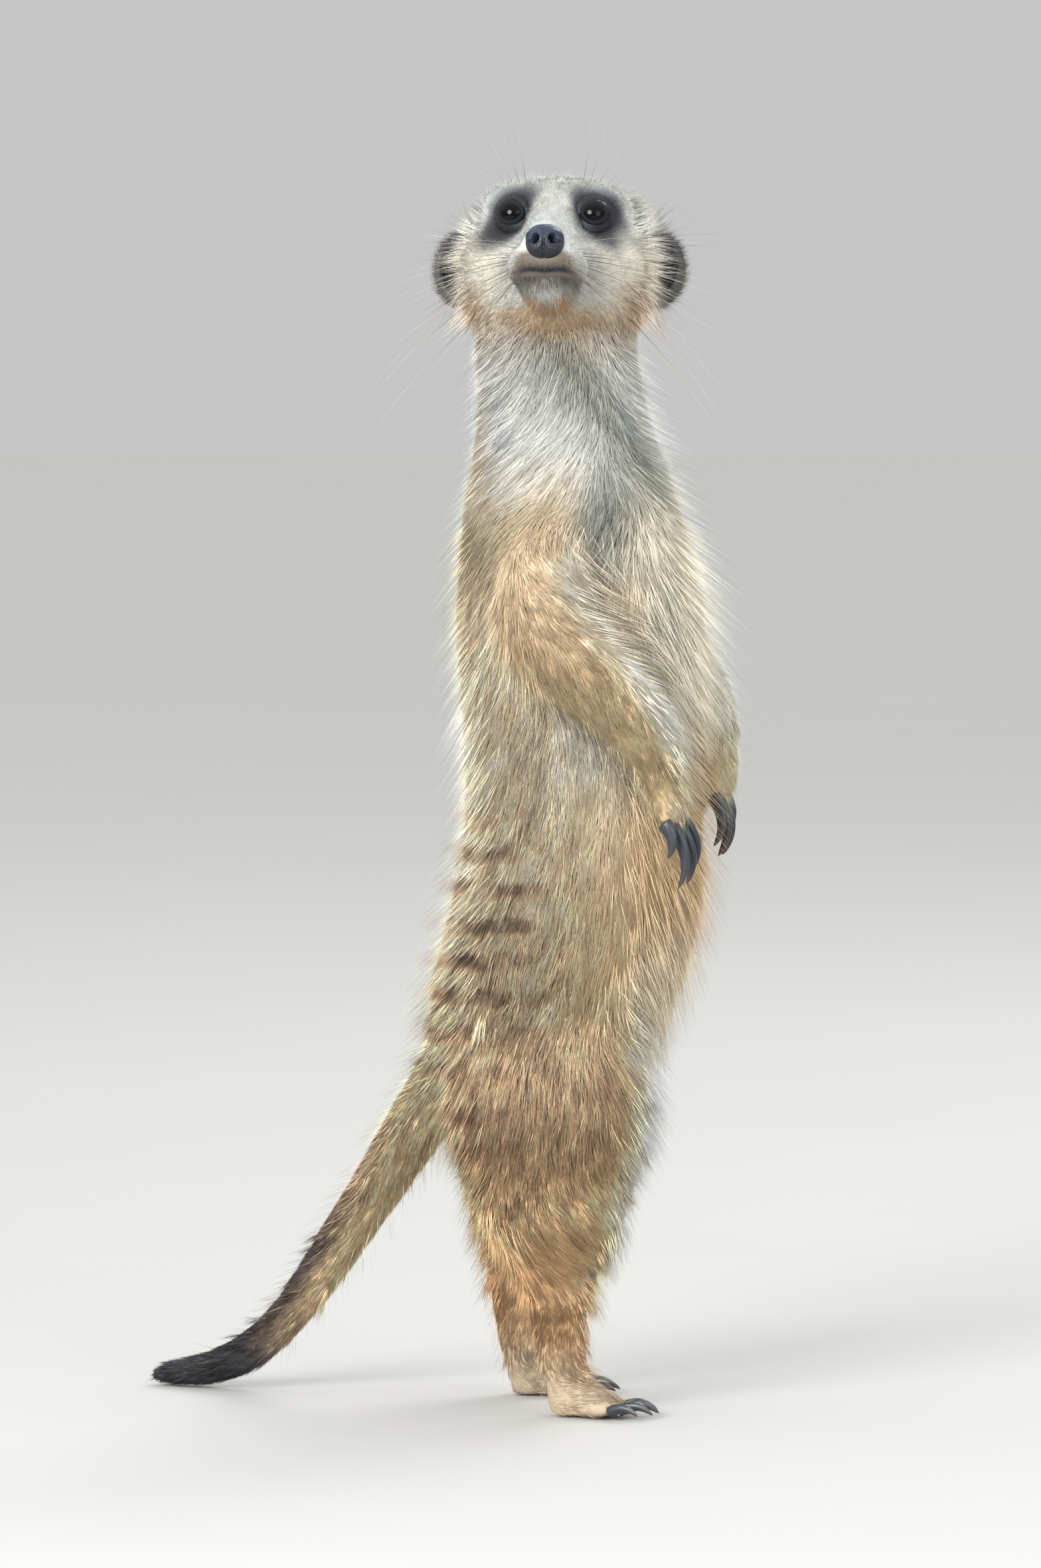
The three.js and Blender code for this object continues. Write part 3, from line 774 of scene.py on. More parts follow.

        # bib, with painted shade in its hollow and along the parting of the throat
        # Painted shade: grey in the hollow in front of the shoulder, which slants further round the chest lower down,
        # and in a smaller patch between the arm and the belly.
        hollow = -22 - 1.2 * (245 - level)
        tinge(trunk * bell(signed - hollow, 20) * ramp(204, 218, level) * ramp(258, 246, level) * 0.95, "grey")
        tinge(trunk * bell(signed + 26, 13) * ramp(190, 200, level) * ramp(216, 210, level) * 0.5, "grey")
        tinge(trunk * ramp(232, 250, level) * ramp(118, 92, around + 4 * patchy), "white")
        tinge(trunk * ramp(266, 284, level + 3 * patchy) * 0.6, "throat")
        parting = signed - 6 + 1.4 * (level - 255)
        self.crease = trunk * bell(parting, 5) * ramp(246, 256, level) * ramp(284, 276, level)
        shaded = bell(parting + 16, 20) * ramp(226, 246, level)
        tinge(trunk * ramp(8, 22, parting) * ramp(75, 55, signed) * ramp(212, 226, level) * 0.7, "white")
        # Painted shade: grey in the crease of the parting, and beside it on the side away from the white.
        tinge(self.crease * 0.85 + trunk * shaded * 0.8, "grey")

        # bars of the lower back
        barred = ramp(168, 148, level) * ramp(62, 78, level) * ramp(84, 120, around + 8 * broken)
        self.bars = np.clip((trunk + thighs * 0.7) * barred * (0.85 + 0.2 * patchy), 0, 1)

        # legs
        above_foot = ramp(12, 36, level)
        tinge(thighs * ramp(118, 84, level), "umber")
        tinge(legs * ramp(80, 40, level) * 0.75, "rust")
        tinge(legs * ramp(0.3, 0.8, ahead + 0.12 * patchy) * above_foot * 0.75, "sand")
        tinge(legs * ramp(0.5, 0.9, ahead + 0.12 * patchy) * above_foot * 0.4, "cream")
        shade(1 + 0.15 * legs * ramp(0.3, 0.8, ahead) * above_foot)
        tinge(legs * ramp(22, 10, level) * 0.9, "tan")
        tinge(legs * ramp(16, 6, level) * 0.45, "muzzle")

        # arms and shoulders
        tinge(arms * ramp(225, 190, level) * 0.6, "sand")
        shoulder = np.clip(arms + trunk * ramp(236, 222, level) * ramp(40, 70, around), 0, 1)
        shade(1 - 0.26 * shoulder * ramp(185, 205, level) + 0.08 * arms * ramp(185, 170, level))
        # Painted shade: one side of the breast, round the hollow in front of the shoulder, is darker.
        breast = ramp(205, 215, level) * ramp(238, 230, level) * ramp(-100, -85, signed) * ramp(-20, -35, signed)
        shade(1 - 0.18 * trunk * breast)
        tinge(hands * 0.5, "sand")
        tinge(arms * (1 - 0.7 * hands) * ramp(0.35, 0.8, ahead + 0.1 * patchy) * 0.8, "cream")

        # tail
        back_of_tail = ramp(-0.25, 0.35, self.broad[:, 2] + 0.45 * self.broad[:, 1] + 0.1 * broken)
        reach = points[:, 1] / node_middle("tail_tip")[1] + 0.03 * broken
        tinge(tail, "tan")
        tinge(tail * 0.6, "sand")
        tinge(tail * back_of_tail * 0.5, "umber")
        tinge(tail * np.maximum(ramp(0.5, 0.88, reach), ramp(0.1, 0.62, reach) * back_of_tail * 0.85), "dark")

        # head and ears
        self.paint_head(tinge, shade, patchy, broken)
        tinge(ears, "dark")
        tinge(ears * ramp(29, 32, np.abs(places[:, 1]) + broken) * 0.32, "muzzle")

        top = ramp(2, 12, places[:, 2]) * ramp(18, 8, places[:, 0])
        grizzled = trunk * ramp(48, 88, wander) * (0.65 + 0.35 * low) + tail * (0.6 + 0.6 * back_of_tail)
        grizzled += legs * ramp(20, 60, level) * 0.85 + arms * 0.5 + self.head * (1 - ears) * (0.2 + 0.6 * top)
        self.grizzle = np.clip(grizzled, 0, 1)

    def paint_head(self, tinge, shade, patchy, broken):
        """The pale face, the dark patches round the eyes, the orange throat and the grey chin."""
        forward, leftward, up = self.places.T
        side = np.abs(leftward)
        head = self.head

        # crown, cheeks and bridge
        tinge(head, "white")
        tinge(head * ramp(8, 18, side) * ramp(8, -8, up) * 0.75, "cream")
        shade(1 - 0.16 * head * ramp(5, 13, side) * ramp(4, -4, up))
        tinge(head * ramp(4, 12, up) * ramp(27, 15, forward) * 0.7, "grey")
        tinge(head * ramp(12, 4, side) * ramp(-2, 4, up) * ramp(16, 20, forward) * 0.15, "tan")
        tinge(head * ramp(8, 3, side) * ramp(14, 20, forward) * ramp(-12, -7, up) * 0.4, "grey")

        # back of the head, and the throat with its spots
        tinge(head * ramp(-4, -14, forward) * ramp(-14, -2, up) * 0.85, "tan")
        tinge(head * ramp(-10, -18, up) * ramp(6, -4, forward) * 0.5, "tan")
        tinge(head * ramp(-17.5, -23.5, up + 0.8 * broken) * ramp(24, 19, forward) * 0.8, "throat")
        tinge(head * ramp(13, 19, side + 2 * patchy) * ramp(-11, -18, up) * ramp(12, 6, forward) * 0.42, "orange")
        spots = bell(forward - 20.5, 3.8) * bell(side - 4, 5) * ramp(-21, -23.4, up)
        tinge(head * spots * 0.75, "orange")

        # patches round the eyes: long below and outwards, darker in the middle
        eye = both_sides(self.places) - HeadFrame.EYE
        rise = eye[:, 2]
        lean = eye[:, 1] - 0.25 * eye[:, 0] + 0.42 * rise
        wide, high = np.where(lean > 0, 9.2, 5.7), np.where(rise > 0, 7.2, 9.4)
        spread = np.sqrt((lean / wide) ** 2 + (rise / high) ** 2) + 0.1 * broken
        in_front = head * ramp(-2, 4, forward)
        tinge(in_front * ramp(1.34, 0.74, spread), "patch")
        tinge(in_front * ramp(0.85, 0.5, spread) * 0.9, "dark")

        # lips and chin
        tinge(head * ramp(24, 30, forward) * ramp(-13, -16, up) * ramp(12, 6, side) * 0.6, "muzzle")
        lip = ramp(23, 27, forward) * ramp(-13.5, -15.5, up) * ramp(-20.8, -19.8, up)
        tinge(head * lip * ramp(9, 5.5, side + 0.5 * broken) * 0.85, "brown")
        below_lip = ramp(26, 30, forward) * ramp(-15, -17, up) * ramp(-21.8, -20.6, up)
        tinge(head * below_lip * ramp(8, 4, side) * 0.8, "chin")
        tinge(head * bell(side - 7.6, 3) * bell(up + 19, 1.8) * ramp(14, 20, forward) * 0.55, "chin")
        tinge(head * ramp(21, 25, forward) * ramp(-19, -20, up) * ramp(-22.5, -21, up) * 0.2, "chin")
        tinge(head * bell(up - MOUTH["up"] + 1.5, 1.2) * ramp(25, 28, forward) * ramp(8, 5, side) * 0.8, "dark")
        under_chin = ramp(-21, -22, up) * ramp(-26, -24.5, up) * ramp(20, 23, forward)
        tinge(head * bell(side, 1.6) * under_chin * 0.2, "white")
        tinge(head * bell(self.lips, 2) * ramp(10, 5, side + 0.8 * broken) * 0.7, "brown")

        # bare lips and lids
        lips = bell(self.lips, 0.55) * ramp(9, 4.5, side)
        lid = ramp(1.42, 1.2, eye_cone(eye, gaze_axes(1))) * ramp(8, 6, np.linalg.norm(eye, axis=1))
        self.bare = np.maximum(lips, lid) * head
        tinge(self.bare, "leather")
        shade(1 - 0.5 * self.bare)
        shade(1 - 0.5 * in_front * ramp(0.9, 0.45, spread))


# ---------------------------------------------------------------- coat
class CoatKind:
    """The tufts of one kind of place: length, width, number to the square millimetre, how far they draw together
    and how many of them stand out."""

    def __init__(self, hair, width, per_square, clump, strays):
        self.hair, self.width, self.per_square, self.clump, self.strays = hair, width, per_square, clump, strays


def coat_kinds():
    """The kind of coat of each region."""
    trunk, leg, arm = mm("coat", "trunk_length"), mm("coat", "leg_length"), mm("coat", "arm_length")
    neck, tail, foot = mm("coat", "neck_length"), mm("coat", "tail_length"), mm("coat", "foot_length")
    head = mm("coat", "head_length")
    return by_part(
        hips=CoatKind(trunk, 0.6, 4.2, 0.8, 0.07),
        belly=CoatKind(trunk, 0.56, 4.4, 0.6, 0.06),
        chest=CoatKind(trunk * 0.9, 0.5, 5.0, 0.45, 0.07),
        neck=CoatKind(neck, 0.36, 7.0, 0.25, 0.05),
        head=CoatKind(head, 0.32, 9, 0.3, 0.03),
        ear=CoatKind(3.8, 0.24, 9, 0.3, 0.25),
        upper_arm=CoatKind(arm * 1.2, 0.5, 6, 0.8, 0.04),
        forearm=CoatKind(arm, 0.48, 7, 0.75, 0.04),
        forepaw=CoatKind(foot * 1.35, 0.3, 12, 0.6, 0.06),
        thigh=CoatKind(leg * 1.15, 0.6, 4.8, 0.85, 0.08),
        shank=CoatKind(leg * 0.9, 0.52, 5.5, 0.9, 0.14),
        hind_foot=CoatKind(foot * 1.5, 0.4, 8, 0.9, 0.08),
        tail_base=CoatKind(tail * 1.1, 0.54, 5.5, 0.8, 0.04),
        tail_middle=CoatKind(tail, 0.5, 6, 0.8, 0.03),
        tail_tip=CoatKind(tail * 0.9, 0.46, 6.5, 0.8, 0.02),
    )


COAT_PIECES = {
    "coat_head": ("coat_sand", 185000, ["head", *both("ear")]),
    "coat_neck": ("coat_pale", 150000, ["neck"]),
    "coat_chest": ("coat_tan", 190000, ["chest"]),
    "coat_belly": ("coat_tan", 160000, ["belly"]),
    "coat_hips": ("coat_tan", 150000, ["hips"]),
    "coat_arms": ("coat_sand", 180000, both("upper_arm", "forearm")),
    "coat_thighs": ("coat_tan", 190000, both("thigh")),
    "coat_shanks": ("coat_tan", 80000, both("shank")),
    "coat_paws": ("coat_sand", 90000, both("forepaw", "hind_foot")),
    "coat_tail": ("coat_tan", 100000, list(TAIL)),
}


class Coat:
    """Tufts over the skin. Each is a thin closed spike of four faces that follows the lie of the coat."""

    STAGES = 3
    ROOT_DEPTH = 0.3
    LOWEST = 0.25
    STRAY_WIDTH = 0.45
    STRAY_TONE = 0.85
    TUFTS_TO_A_LOCK = 13
    ENDS = [0, 0, 0, 1]
    FACES = np.array([[0, 1, 2], [0, 3, 1], [1, 3, 2], [2, 3, 0]])
    FOOT = np.array([[-0.5, 0], [0.5, 0], [0, 0.42]])
    MAP = [[(0, 0), (2, 0), (4, 0.1)], [(0, 0), (1, 1), (2, 0)], [(2, 0), (3, 1), (4, 0)], [(4, 0), (5, 1), (6, 0)]]

    def __init__(self, skin):
        self.skin = skin
        self.kinds = coat_kinds()
        self.nearest = nearest_of(skin.points)
        self.prepare()

    def sum_up(self, name):
        """One value of the kinds of coat, for each vertex of the skin."""
        return region_sum(self.skin.shares, {key: getattr(kind, name) for key, kind in self.kinds.items()})

    def scatter(self, regions, most, rng):
        """Roots spread evenly over some regions, with a vertex of the skin beside each."""
        skin = self.skin
        corners = np.zeros(len(skin.mesh.loop_triangles) * 3, np.int32)
        skin.mesh.loop_triangles.foreach_get("vertices", corners)
        corners = corners.reshape(-1, 3)
        a, b, c = (skin.points[corners[:, k]] for k in range(3))
        area = np.linalg.norm(np.cross(b - a, c - a), axis=1) / 2
        strongest = skin.shares.argmax(1)
        inside = np.isin(strongest[corners[:, 0]], [REGION[name] for name in regions])
        wanted = area * self.thickness[corners].mean(1) * inside * settings("coat").density
        total = int(min(wanted.sum(), most))
        steps = (np.arange(total) + rng.random(total)) / total * wanted.sum()
        chosen = np.minimum(np.searchsorted(np.cumsum(wanted), steps), len(corners) - 1)
        r, s = rng.random((2, total))
        fold = r + s > 1
        r, s = np.where(fold, 1 - r, r), np.where(fold, 1 - s, s)
        roots = a[chosen] + (b - a)[chosen] * r[:, None] + (c - a)[chosen] * s[:, None]
        return roots, corners[chosen, 0]

    def prepare(self):
        """Works out the tufts' length, width, number and lift at each vertex of the skin."""
        skin = self.skin
        face, head, level, ahead = skin.face, skin.head, skin.level, skin.ahead
        ears = skin.part_share("ear")
        forward, _, up = skin.places.T
        side = np.abs(skin.places[:, 1])
        from_eye = both_sides(skin.places) - HeadFrame.EYE
        near_eye = np.linalg.norm(from_eye, axis=1)
        cheek = head * ramp(19, 22, side) * ramp(-9, -5, forward) * ramp(8, 3, forward) * ramp(8, 4, up)
        temple = head * ramp(9, 14, side) * ramp(-14, -9, forward) * ramp(5, 0, forward) * ramp(-2, 3, up)
        chin = head * ramp(17, 22, forward) * ramp(-18, -20, up)

        self.hair = self.sum_up("hair")
        self.hair = self.hair * (1 - face) + mm("coat", "face_length") * face
        self.hair *= 1 - 0.45 * head * ramp(10.5, 6, near_eye)
        self.hair *= 1 - 0.35 * ramp(26, 33, forward) * head
        self.hair += 1.4 * cheek + 4 * temple + 2.6 * chin + 3 * self.over_claws()
        self.hair *= 1 - 0.5 * skin.part_share("thigh") * ramp(92, 62, level)
        self.width = self.sum_up("width") * (1 - 0.3 * face)
        self.clumping = self.sum_up("clump") * settings("coat").clumping

        self.flare = np.clip(cheek + 0.1 * temple, 0, 1)
        self.flare = np.maximum(self.flare, 0.45 * skin.trunk * ramp(0.1, 0.5, ahead) * ramp(150, 190, level))
        self.stand = 0.24 * cheek + 0.6 * temple + 0.15 * chin + 0.3 * ears - 0.9 * skin.crease
        edge = ramp(0.35, 0.85, np.abs(ahead)) * np.where(ahead > 0, 1.6, 1.2)
        self.strays = self.sum_up("strays") * np.maximum(edge + head + ears, ramp(232, 250, level))
        self.strays = np.maximum(self.strays, 0.26 * cheek + 0.04 * temple)

        open_eye = head * (eye_cone(from_eye, gaze_axes(1)) < 1.2) * (near_eye < 8)
        nose = ramp(1.1, 1.0, np.linalg.norm((skin.places - HeadFrame.NOSE) / [5.6, 5.4, 4.6], axis=1))
        sole = ramp(2.2, 0.9, level)
        self.thickness = self.sum_up("per_square") * (1 + 0.7 * face) * (1 - 0.5 * skin.crease)
        for bare in (np.clip(skin.bare * 1.4, 0, 1), open_eye, sole, nose):
            self.thickness = self.thickness * (1 - bare)

    def over_claws(self):
        """1 at the ends of the fingers and toes, where longer hair covers the roots of the claws."""
        roots = (ClawLine(claw, paw).point(np.zeros(1)) for claw, paw in CLAWS.items())
        near = np.min([np.linalg.norm(self.skin.points - root, axis=1) for root in roots], axis=0)
        return ramp(8, 3, near)

    def spines(self, roots, vertex, rng):
        """The root and the tip of each tuft, the skin vertex under each of them, and whether the tuft stands out.

        A tip is found in a few steps over the skin, so that the tuft follows its bends."""
        skin = self.skin
        count = len(roots)
        stray = rng.random(count) < self.strays[vertex]
        flare, stand = self.flare[vertex], self.stand[vertex]
        hair = self.hair[vertex] * rng.uniform(0.65, 1.2, count) * np.where(stray, 1.25 + 0.8 * flare, 1)
        lift = rng.uniform(0.35, 1.02, count) ** 0.8
        turn = rng.normal(0, 0.14, count)
        rise = np.where(stray, 0.42 + 0.3 * flare, np.clip(stand, 0, 0.95))
        stride = (hair * np.sqrt(1 - rise**2) / self.STAGES)[:, None]
        under, on_skin, normal = vertex, roots, skin.broad[vertex]
        straight = turned(skin.way[vertex], normal, turn)
        for _ in range(self.STAGES):
            ahead = unit(turned(skin.way[under], normal, turn))
            on_skin = on_skin + unit(0.75 * ahead + 0.25 * straight) * stride
            under = self.nearest(on_skin)
            normal = skin.broad[under]
            off = dot(on_skin - skin.points[under], normal)
            on_skin = on_skin - normal * np.clip(off, -1.2, 2.0)[:, None] * 0.85
        depth = skin.depth[under]
        lying = depth * np.clip(lift + np.minimum(stand, 0), 0, 1) + hair * np.maximum(stand, 0)
        height = np.where(stray, depth + rise * hair - self.ROOT_DEPTH, lying)[:, None]
        ends = [roots - skin.broad[vertex] * self.ROOT_DEPTH, on_skin + normal * height]
        return np.stack(ends, 1), np.stack([vertex, under], 1), stray

    def clump(self, ends, amount, rng):
        """Draws the tips of neighbouring tufts together, and says which tuft leads each."""
        count = len(ends)
        leaders = rng.permutation(count)[: max(1, count // self.TUFTS_TO_A_LOCK)]
        mine = leaders[nearest_of(ends[leaders, 0])(ends[:, 0])]
        pull = np.clip(amount * rng.uniform(0.5, 1.2, count), 0, 0.92)[:, None]
        ends[:, 1] += (ends[mine, 1] - ends[:, 1]) * pull
        return mine

    def piece(self, name, slot, most, regions, seed):
        """One object of joined tufts."""
        skin = self.skin
        rng = np.random.default_rng(seed)
        roots, vertex = self.scatter(regions, most // len(self.FACES), rng)
        ends, under, stray = self.spines(roots, vertex, rng)
        leader = self.clump(ends, self.clumping[vertex] * ~stray, rng)
        ends[:, :, 2] = np.maximum(ends[:, :, 2], self.LOWEST)
        count, corners = len(ends), len(self.ENDS)
        run = ends[:, 1] - ends[:, 0]
        sideways = unit(np.cross(run, skin.broad[vertex]))
        upward = unit(np.cross(sideways, run))
        width = self.width[vertex] * rng.uniform(0.7, 1.25, count) * np.where(stray, self.STRAY_WIDTH, 1)
        girth = width[:, None, None] * 0.75
        foot = sideways[:, None] * self.FOOT[:, :1] + upward[:, None] * self.FOOT[:, 1:]
        points = np.concatenate([ends[:, :1] + girth * foot, ends[:, 1:]], 1)
        faces = self.FACES + (np.arange(count) * corners)[:, None, None]
        made = mesh_object(name, points.reshape(-1, 3), faces.reshape(-1, 3))
        tone = np.where(stray, self.STRAY_TONE, rng.random(count) * 0.5 + rng.random(count)[leader] * 0.5)
        under = under[:, self.ENDS].ravel()
        attribute(made, "coat_colour", skin.colour[under])
        attribute(made, "along", np.tile(self.ENDS, count))
        attribute(made, "tone", np.repeat(tone, corners))
        attribute(made, "grizzle", skin.grizzle[under])
        attribute(made, "bars", skin.bars[under])
        self.bake_map(made, roots, vertex, regions)
        dress(made, coat_material(), slot)

    def bake_map(self, made, roots, vertex, regions):
        """A small patch of the map for each tuft, at its root's place on the skin unrolled region by region."""
        patch, margin = 0.003, 0.012
        columns = math.ceil(math.sqrt(len(regions)))
        lines = math.ceil(len(regions) / columns)
        owner = self.skin.shares[:, [REGION[name] for name in regions]][vertex].argmax(1)
        place = np.zeros((len(roots), 2))
        for i, name in enumerate(regions):
            mine = owner == i
            if not mine.any():
                continue
            flat = unrolled(roots[mine], name)
            flat = (flat - flat.min(0)) / np.maximum(np.ptp(flat, axis=0), 1e-6)
            cell = np.array([i % columns, i // columns])
            place[mine] = (cell + margin + flat * (1 - 2 * margin)) / [columns, lines]
        place = np.clip(place * (1 - 2 * patch), 0, 1 - 2 * patch) + patch / 2
        uv = place[:, None, None] + np.array(self.MAP) / [6, 1] * patch
        layer = made.data.uv_layers.new(name="OFBake")
        layer.data.foreach_set("uv", uv.astype(np.float32).ravel())


def unrolled(points, name):
    """The angle round a solid and the way along it, which unrolls the skin over it."""
    from_middle = points - points.mean(0)
    axis = np.linalg.eigh(from_middle.T @ from_middle)[1][:, 2]
    if name in TRUNK or name.startswith(("thigh", "shank", "hind", "upper")):
        axis = np.array([0, 0, 1.0])
    if name == "head":
        axis = HEAD.forward
    side = unit(np.cross(axis, [0.31, 0.95, 0.05]))
    other = np.cross(axis, side)
    return np.stack([np.arctan2(from_middle @ other, from_middle @ side), from_middle @ axis], 1)


# ---------------------------------------------------------------- materials
BAR_SPACING = 9.5


class Wire:
    """A value on its way between shader nodes. Arithmetic on it adds Math nodes."""

    def __init__(self, graph, socket):
        self.graph, self.socket = graph, socket

    def maths(self, operation, *values, clamp=False):
        """The outcome of a Math node."""
        return self.graph.add("ShaderNodeMath", {"operation": operation, "use_clamp": clamp}, dict(enumerate(values)))

    def __add__(self, other):
        return self.maths("ADD", self, other)

    def __sub__(self, other):
        return self.maths("SUBTRACT", self, other)

    def __rsub__(self, other):
        return self.maths("SUBTRACT", other, self)

    def __mul__(self, other):
        return self.maths("MULTIPLY", self, other)

    def __pow__(self, other):
        return self.maths("POWER", self, other)

    __radd__, __rmul__ = __add__, __mul__

    def clipped(self):
        """The value, held between 0 and 1."""
        return self.maths("ADD", self, 0, clamp=True)

    def fraction(self):
        return self.maths("FRACT", self)

    def sine(self):
        return self.maths("SINE", self)


class Shader:
    """The node tree of one material."""

    def __init__(self, name):
        self.material = bpy.data.materials.new(name)
        self.material.use_nodes = True
        self.tree = self.material.node_tree
        self.tree.nodes.clear()

    def add(self, kind, setup=None, inputs=None, output=0):
        """Adds a node: its settings first, then the values or wires of its sockets. Gives one output."""
        node = self.tree.nodes.new(kind)
        for key, value in (setup or {}).items():
            if key == "stops":
                self.set_stops(node.color_ramp, value)
            else:
                setattr(node, key, value)
        for key, value in (inputs or {}).items():
            if isinstance(value, Wire):
                self.tree.links.new(value.socket, node.inputs[key])
            else:
                node.inputs[key].default_value = value
        return Wire(self, node.outputs[output]) if len(node.outputs) else None

    @staticmethod
    def set_stops(color_ramp, stops):
        """Gives a colour ramp its places and colours."""
        while len(color_ramp.elements) < len(stops):
            color_ramp.elements.new(1)
        for element, (position, shade) in zip(color_ramp.elements, stops):
            element.position = position
            element.color = (*shade, 1)

    def attribute(self, name, output="Fac"):
        """A value or colour that is stored on the mesh."""
        return self.add("ShaderNodeAttribute", {"attribute_name": name}, output=output)

    def place(self):
        """The place on the object, in metres."""
        return self.add("ShaderNodeTexCoord", output="Object")

    def noise(self, size_mm, detail=2.0, roughness=0.5):
        """Smooth noise with patches of a given size."""
        sockets = {"Vector": self.place(), "Scale": 1000 / size_mm, "Detail": detail, "Roughness": roughness}
        return self.add("ShaderNodeTexNoise", inputs=sockets)

    def mix(self, factor, a, b, blend="MIX"):
        """Mixes two colours, given as wires or as red, green and blue."""
        a, b = (value if isinstance(value, Wire) else (*value, 1) for value in (a, b))
        return self.add(
            "ShaderNodeMix", {"data_type": "RGBA", "blend_type": blend, "clamp_result": True},
            {0: factor, 6: a, 7: b}, output=2,
        )

    def brighten(self, shade, factor):
        """A colour times a number."""
        return self.add("ShaderNodeVectorMath", {"operation": "SCALE"}, {0: shade, "Scale": factor})

    def barred(self, shade, jitter):
        """A colour with the dark broken bars of the lower back, which lie level."""
        level = self.add("ShaderNodeSeparateXYZ", inputs={0: self.place()}, output=2)
        wander = self.noise(26, 2) * 0.012 + jitter * 0.003
        bars = ((level + wander) * (2000 * math.pi / BAR_SPACING)).sine() * 1.6 + 0.1
        dashes = self.noise(9, 2) * 5 - 1.8
        dark = bars.clipped() * dashes.clipped() * self.attribute("bars")
        return self.mix((dark * 0.88).clipped(), shade, colour("brown") * 0.72)

    def bump(self, height, depth_mm, strength=1.0):
        """A surface direction bent by a fine relief."""
        return self.add("ShaderNodeBump", inputs={"Strength": strength, "Distance": depth_mm * MM, "Height": height})

    def finish(self, **sockets):
        """The surface itself. Underscores in the names stand for spaces."""
        surface = self.add("ShaderNodeBsdfPrincipled", inputs={k.replace("_", " "): v for k, v in sockets.items()})
        self.add("ShaderNodeOutputMaterial", inputs={"Surface": surface})
        return self.material


@cache
def coat_material():
    """Hair: darker and warmer at the root, as painted shade deep in the coat, with a tone of its own for each tuft
    and dark bands where the coat is grizzled.
    """
    s = Shader("meerkat_coat")
    along, tone, grizzle = s.attribute("along"), s.attribute("tone"), s.attribute("grizzle")
    shade = s.attribute("coat_colour", "Color")
    # Painted shade: the hair darkens towards its root, where the coat is deep.
    deep = (along * 1.7).clipped() ** 0.7
    fine = s.noise(2.2, 3, 0.6)
    own = 0.8 + tone * 0.46 + grizzle * (tone - 0.38) * 2.6
    light = (0.5 + deep * 0.62) * own * (0.86 + fine * 0.28)
    black, white = (0, 0, 0), (1, 1, 1)
    stops = [(0.3, black), (0.5, white), (0.72, white), (0.86, black)]
    band = s.add("ShaderNodeValToRGB", {"stops": stops}, {0: along})
    speckled = ((tone * 17.31).fraction() * 1.6 - 0.5).clipped()
    banded = (band * speckled * grizzle ** 2 * 0.85).clipped()
    # The painted shade at the root is warmed towards brown.
    warm = s.mix((1 - deep) * 0.8, (1.0, 1.0, 1.0), (1.0, 0.84, 0.7))
    shade = s.mix(1.0, shade, warm, "MULTIPLY")
    base = s.barred(s.brighten(shade, light), tone)
    worn = s.mix(banded, base, colour("brown") * 0.75)
    return s.finish(Base_Color=worn, Roughness=0.65, Specular_IOR_Level=0.25)


@cache
def skin_material():
    """Hide under the coat, with a fine nap. The bare lids and lips are dark, smoother leather."""
    s = Shader("meerkat_skin")
    shade, bare = s.attribute("coat_colour", "Color"), s.attribute("bare")
    fine, broad = s.noise(0.8, 4, 0.65), s.noise(6, 3, 0.5)
    light = (0.5 + fine * 0.22 + broad * 0.12) + bare * 0.25
    rough = 0.85 - bare * 0.38
    nap = s.bump(fine + broad * 0.6, 0.25, 0.8)
    base = s.barred(s.brighten(shade, light), broad)
    return s.finish(Base_Color=base, Roughness=rough, Normal=nap, Specular_IOR_Level=0.3)


@cache
def eye_material():
    """A very dark iris, painted faintly blue as a reflection of sky, round a black pupil, wet all over."""
    s = Shader("meerkat_eye")
    ring, spoke = s.attribute("ring"), s.attribute("spoke")
    streaks = s.add("ShaderNodeTexNoise", {"noise_dimensions": "1D"}, {"W": spoke * 40, "Scale": 1.0, "Detail": 3.0})
    # Painted reflection: the iris is tinted blue, most in a band towards its edge, as if it mirrored sky.
    iris = s.add(
        "ShaderNodeValToRGB",
        {"stops": [(0.0, (0.0, 0.0, 0.0)), (0.4, (0.0004, 0.0006, 0.001)), (0.5, (0.003, 0.0035, 0.005)),
                   (0.8, (0.0025, 0.004, 0.008)), (0.95, (0.0005, 0.001, 0.002)), (1.0, (0.003, 0.0035, 0.005))]},
        {0: ring},
    )
    shade = s.brighten(iris, 0.6 + streaks * 0.8)
    return s.finish(Base_Color=shade, Roughness=0.04, Specular_IOR_Level=0.16)


@cache
def leather_material():
    """The pebbled leather of the nose."""
    s = Shader("meerkat_nose_leather")
    pebbles = {"Vector": s.place(), "Scale": 1000 / 0.55}
    cells = (s.add("ShaderNodeTexVoronoi", {"feature": "DISTANCE_TO_EDGE"}, pebbles) * 6).clipped()
    mottle = s.noise(2.5, 3)
    inner = s.attribute("pit")
    shade = s.mix(mottle, colour("leather") * 0.7, colour("leather") * 1.5)
    # The painted shade of the nostrils, the slits and the lower part of the nose darkens the leather.
    shade = s.brighten(shade, (0.5 + cells * 0.4) * (1 - inner * 0.85))
    return s.finish(
        Base_Color=shade, Roughness=0.28 + mottle * 0.18, Normal=s.bump(cells, 0.06, 0.7), Specular_IOR_Level=0.5
    )


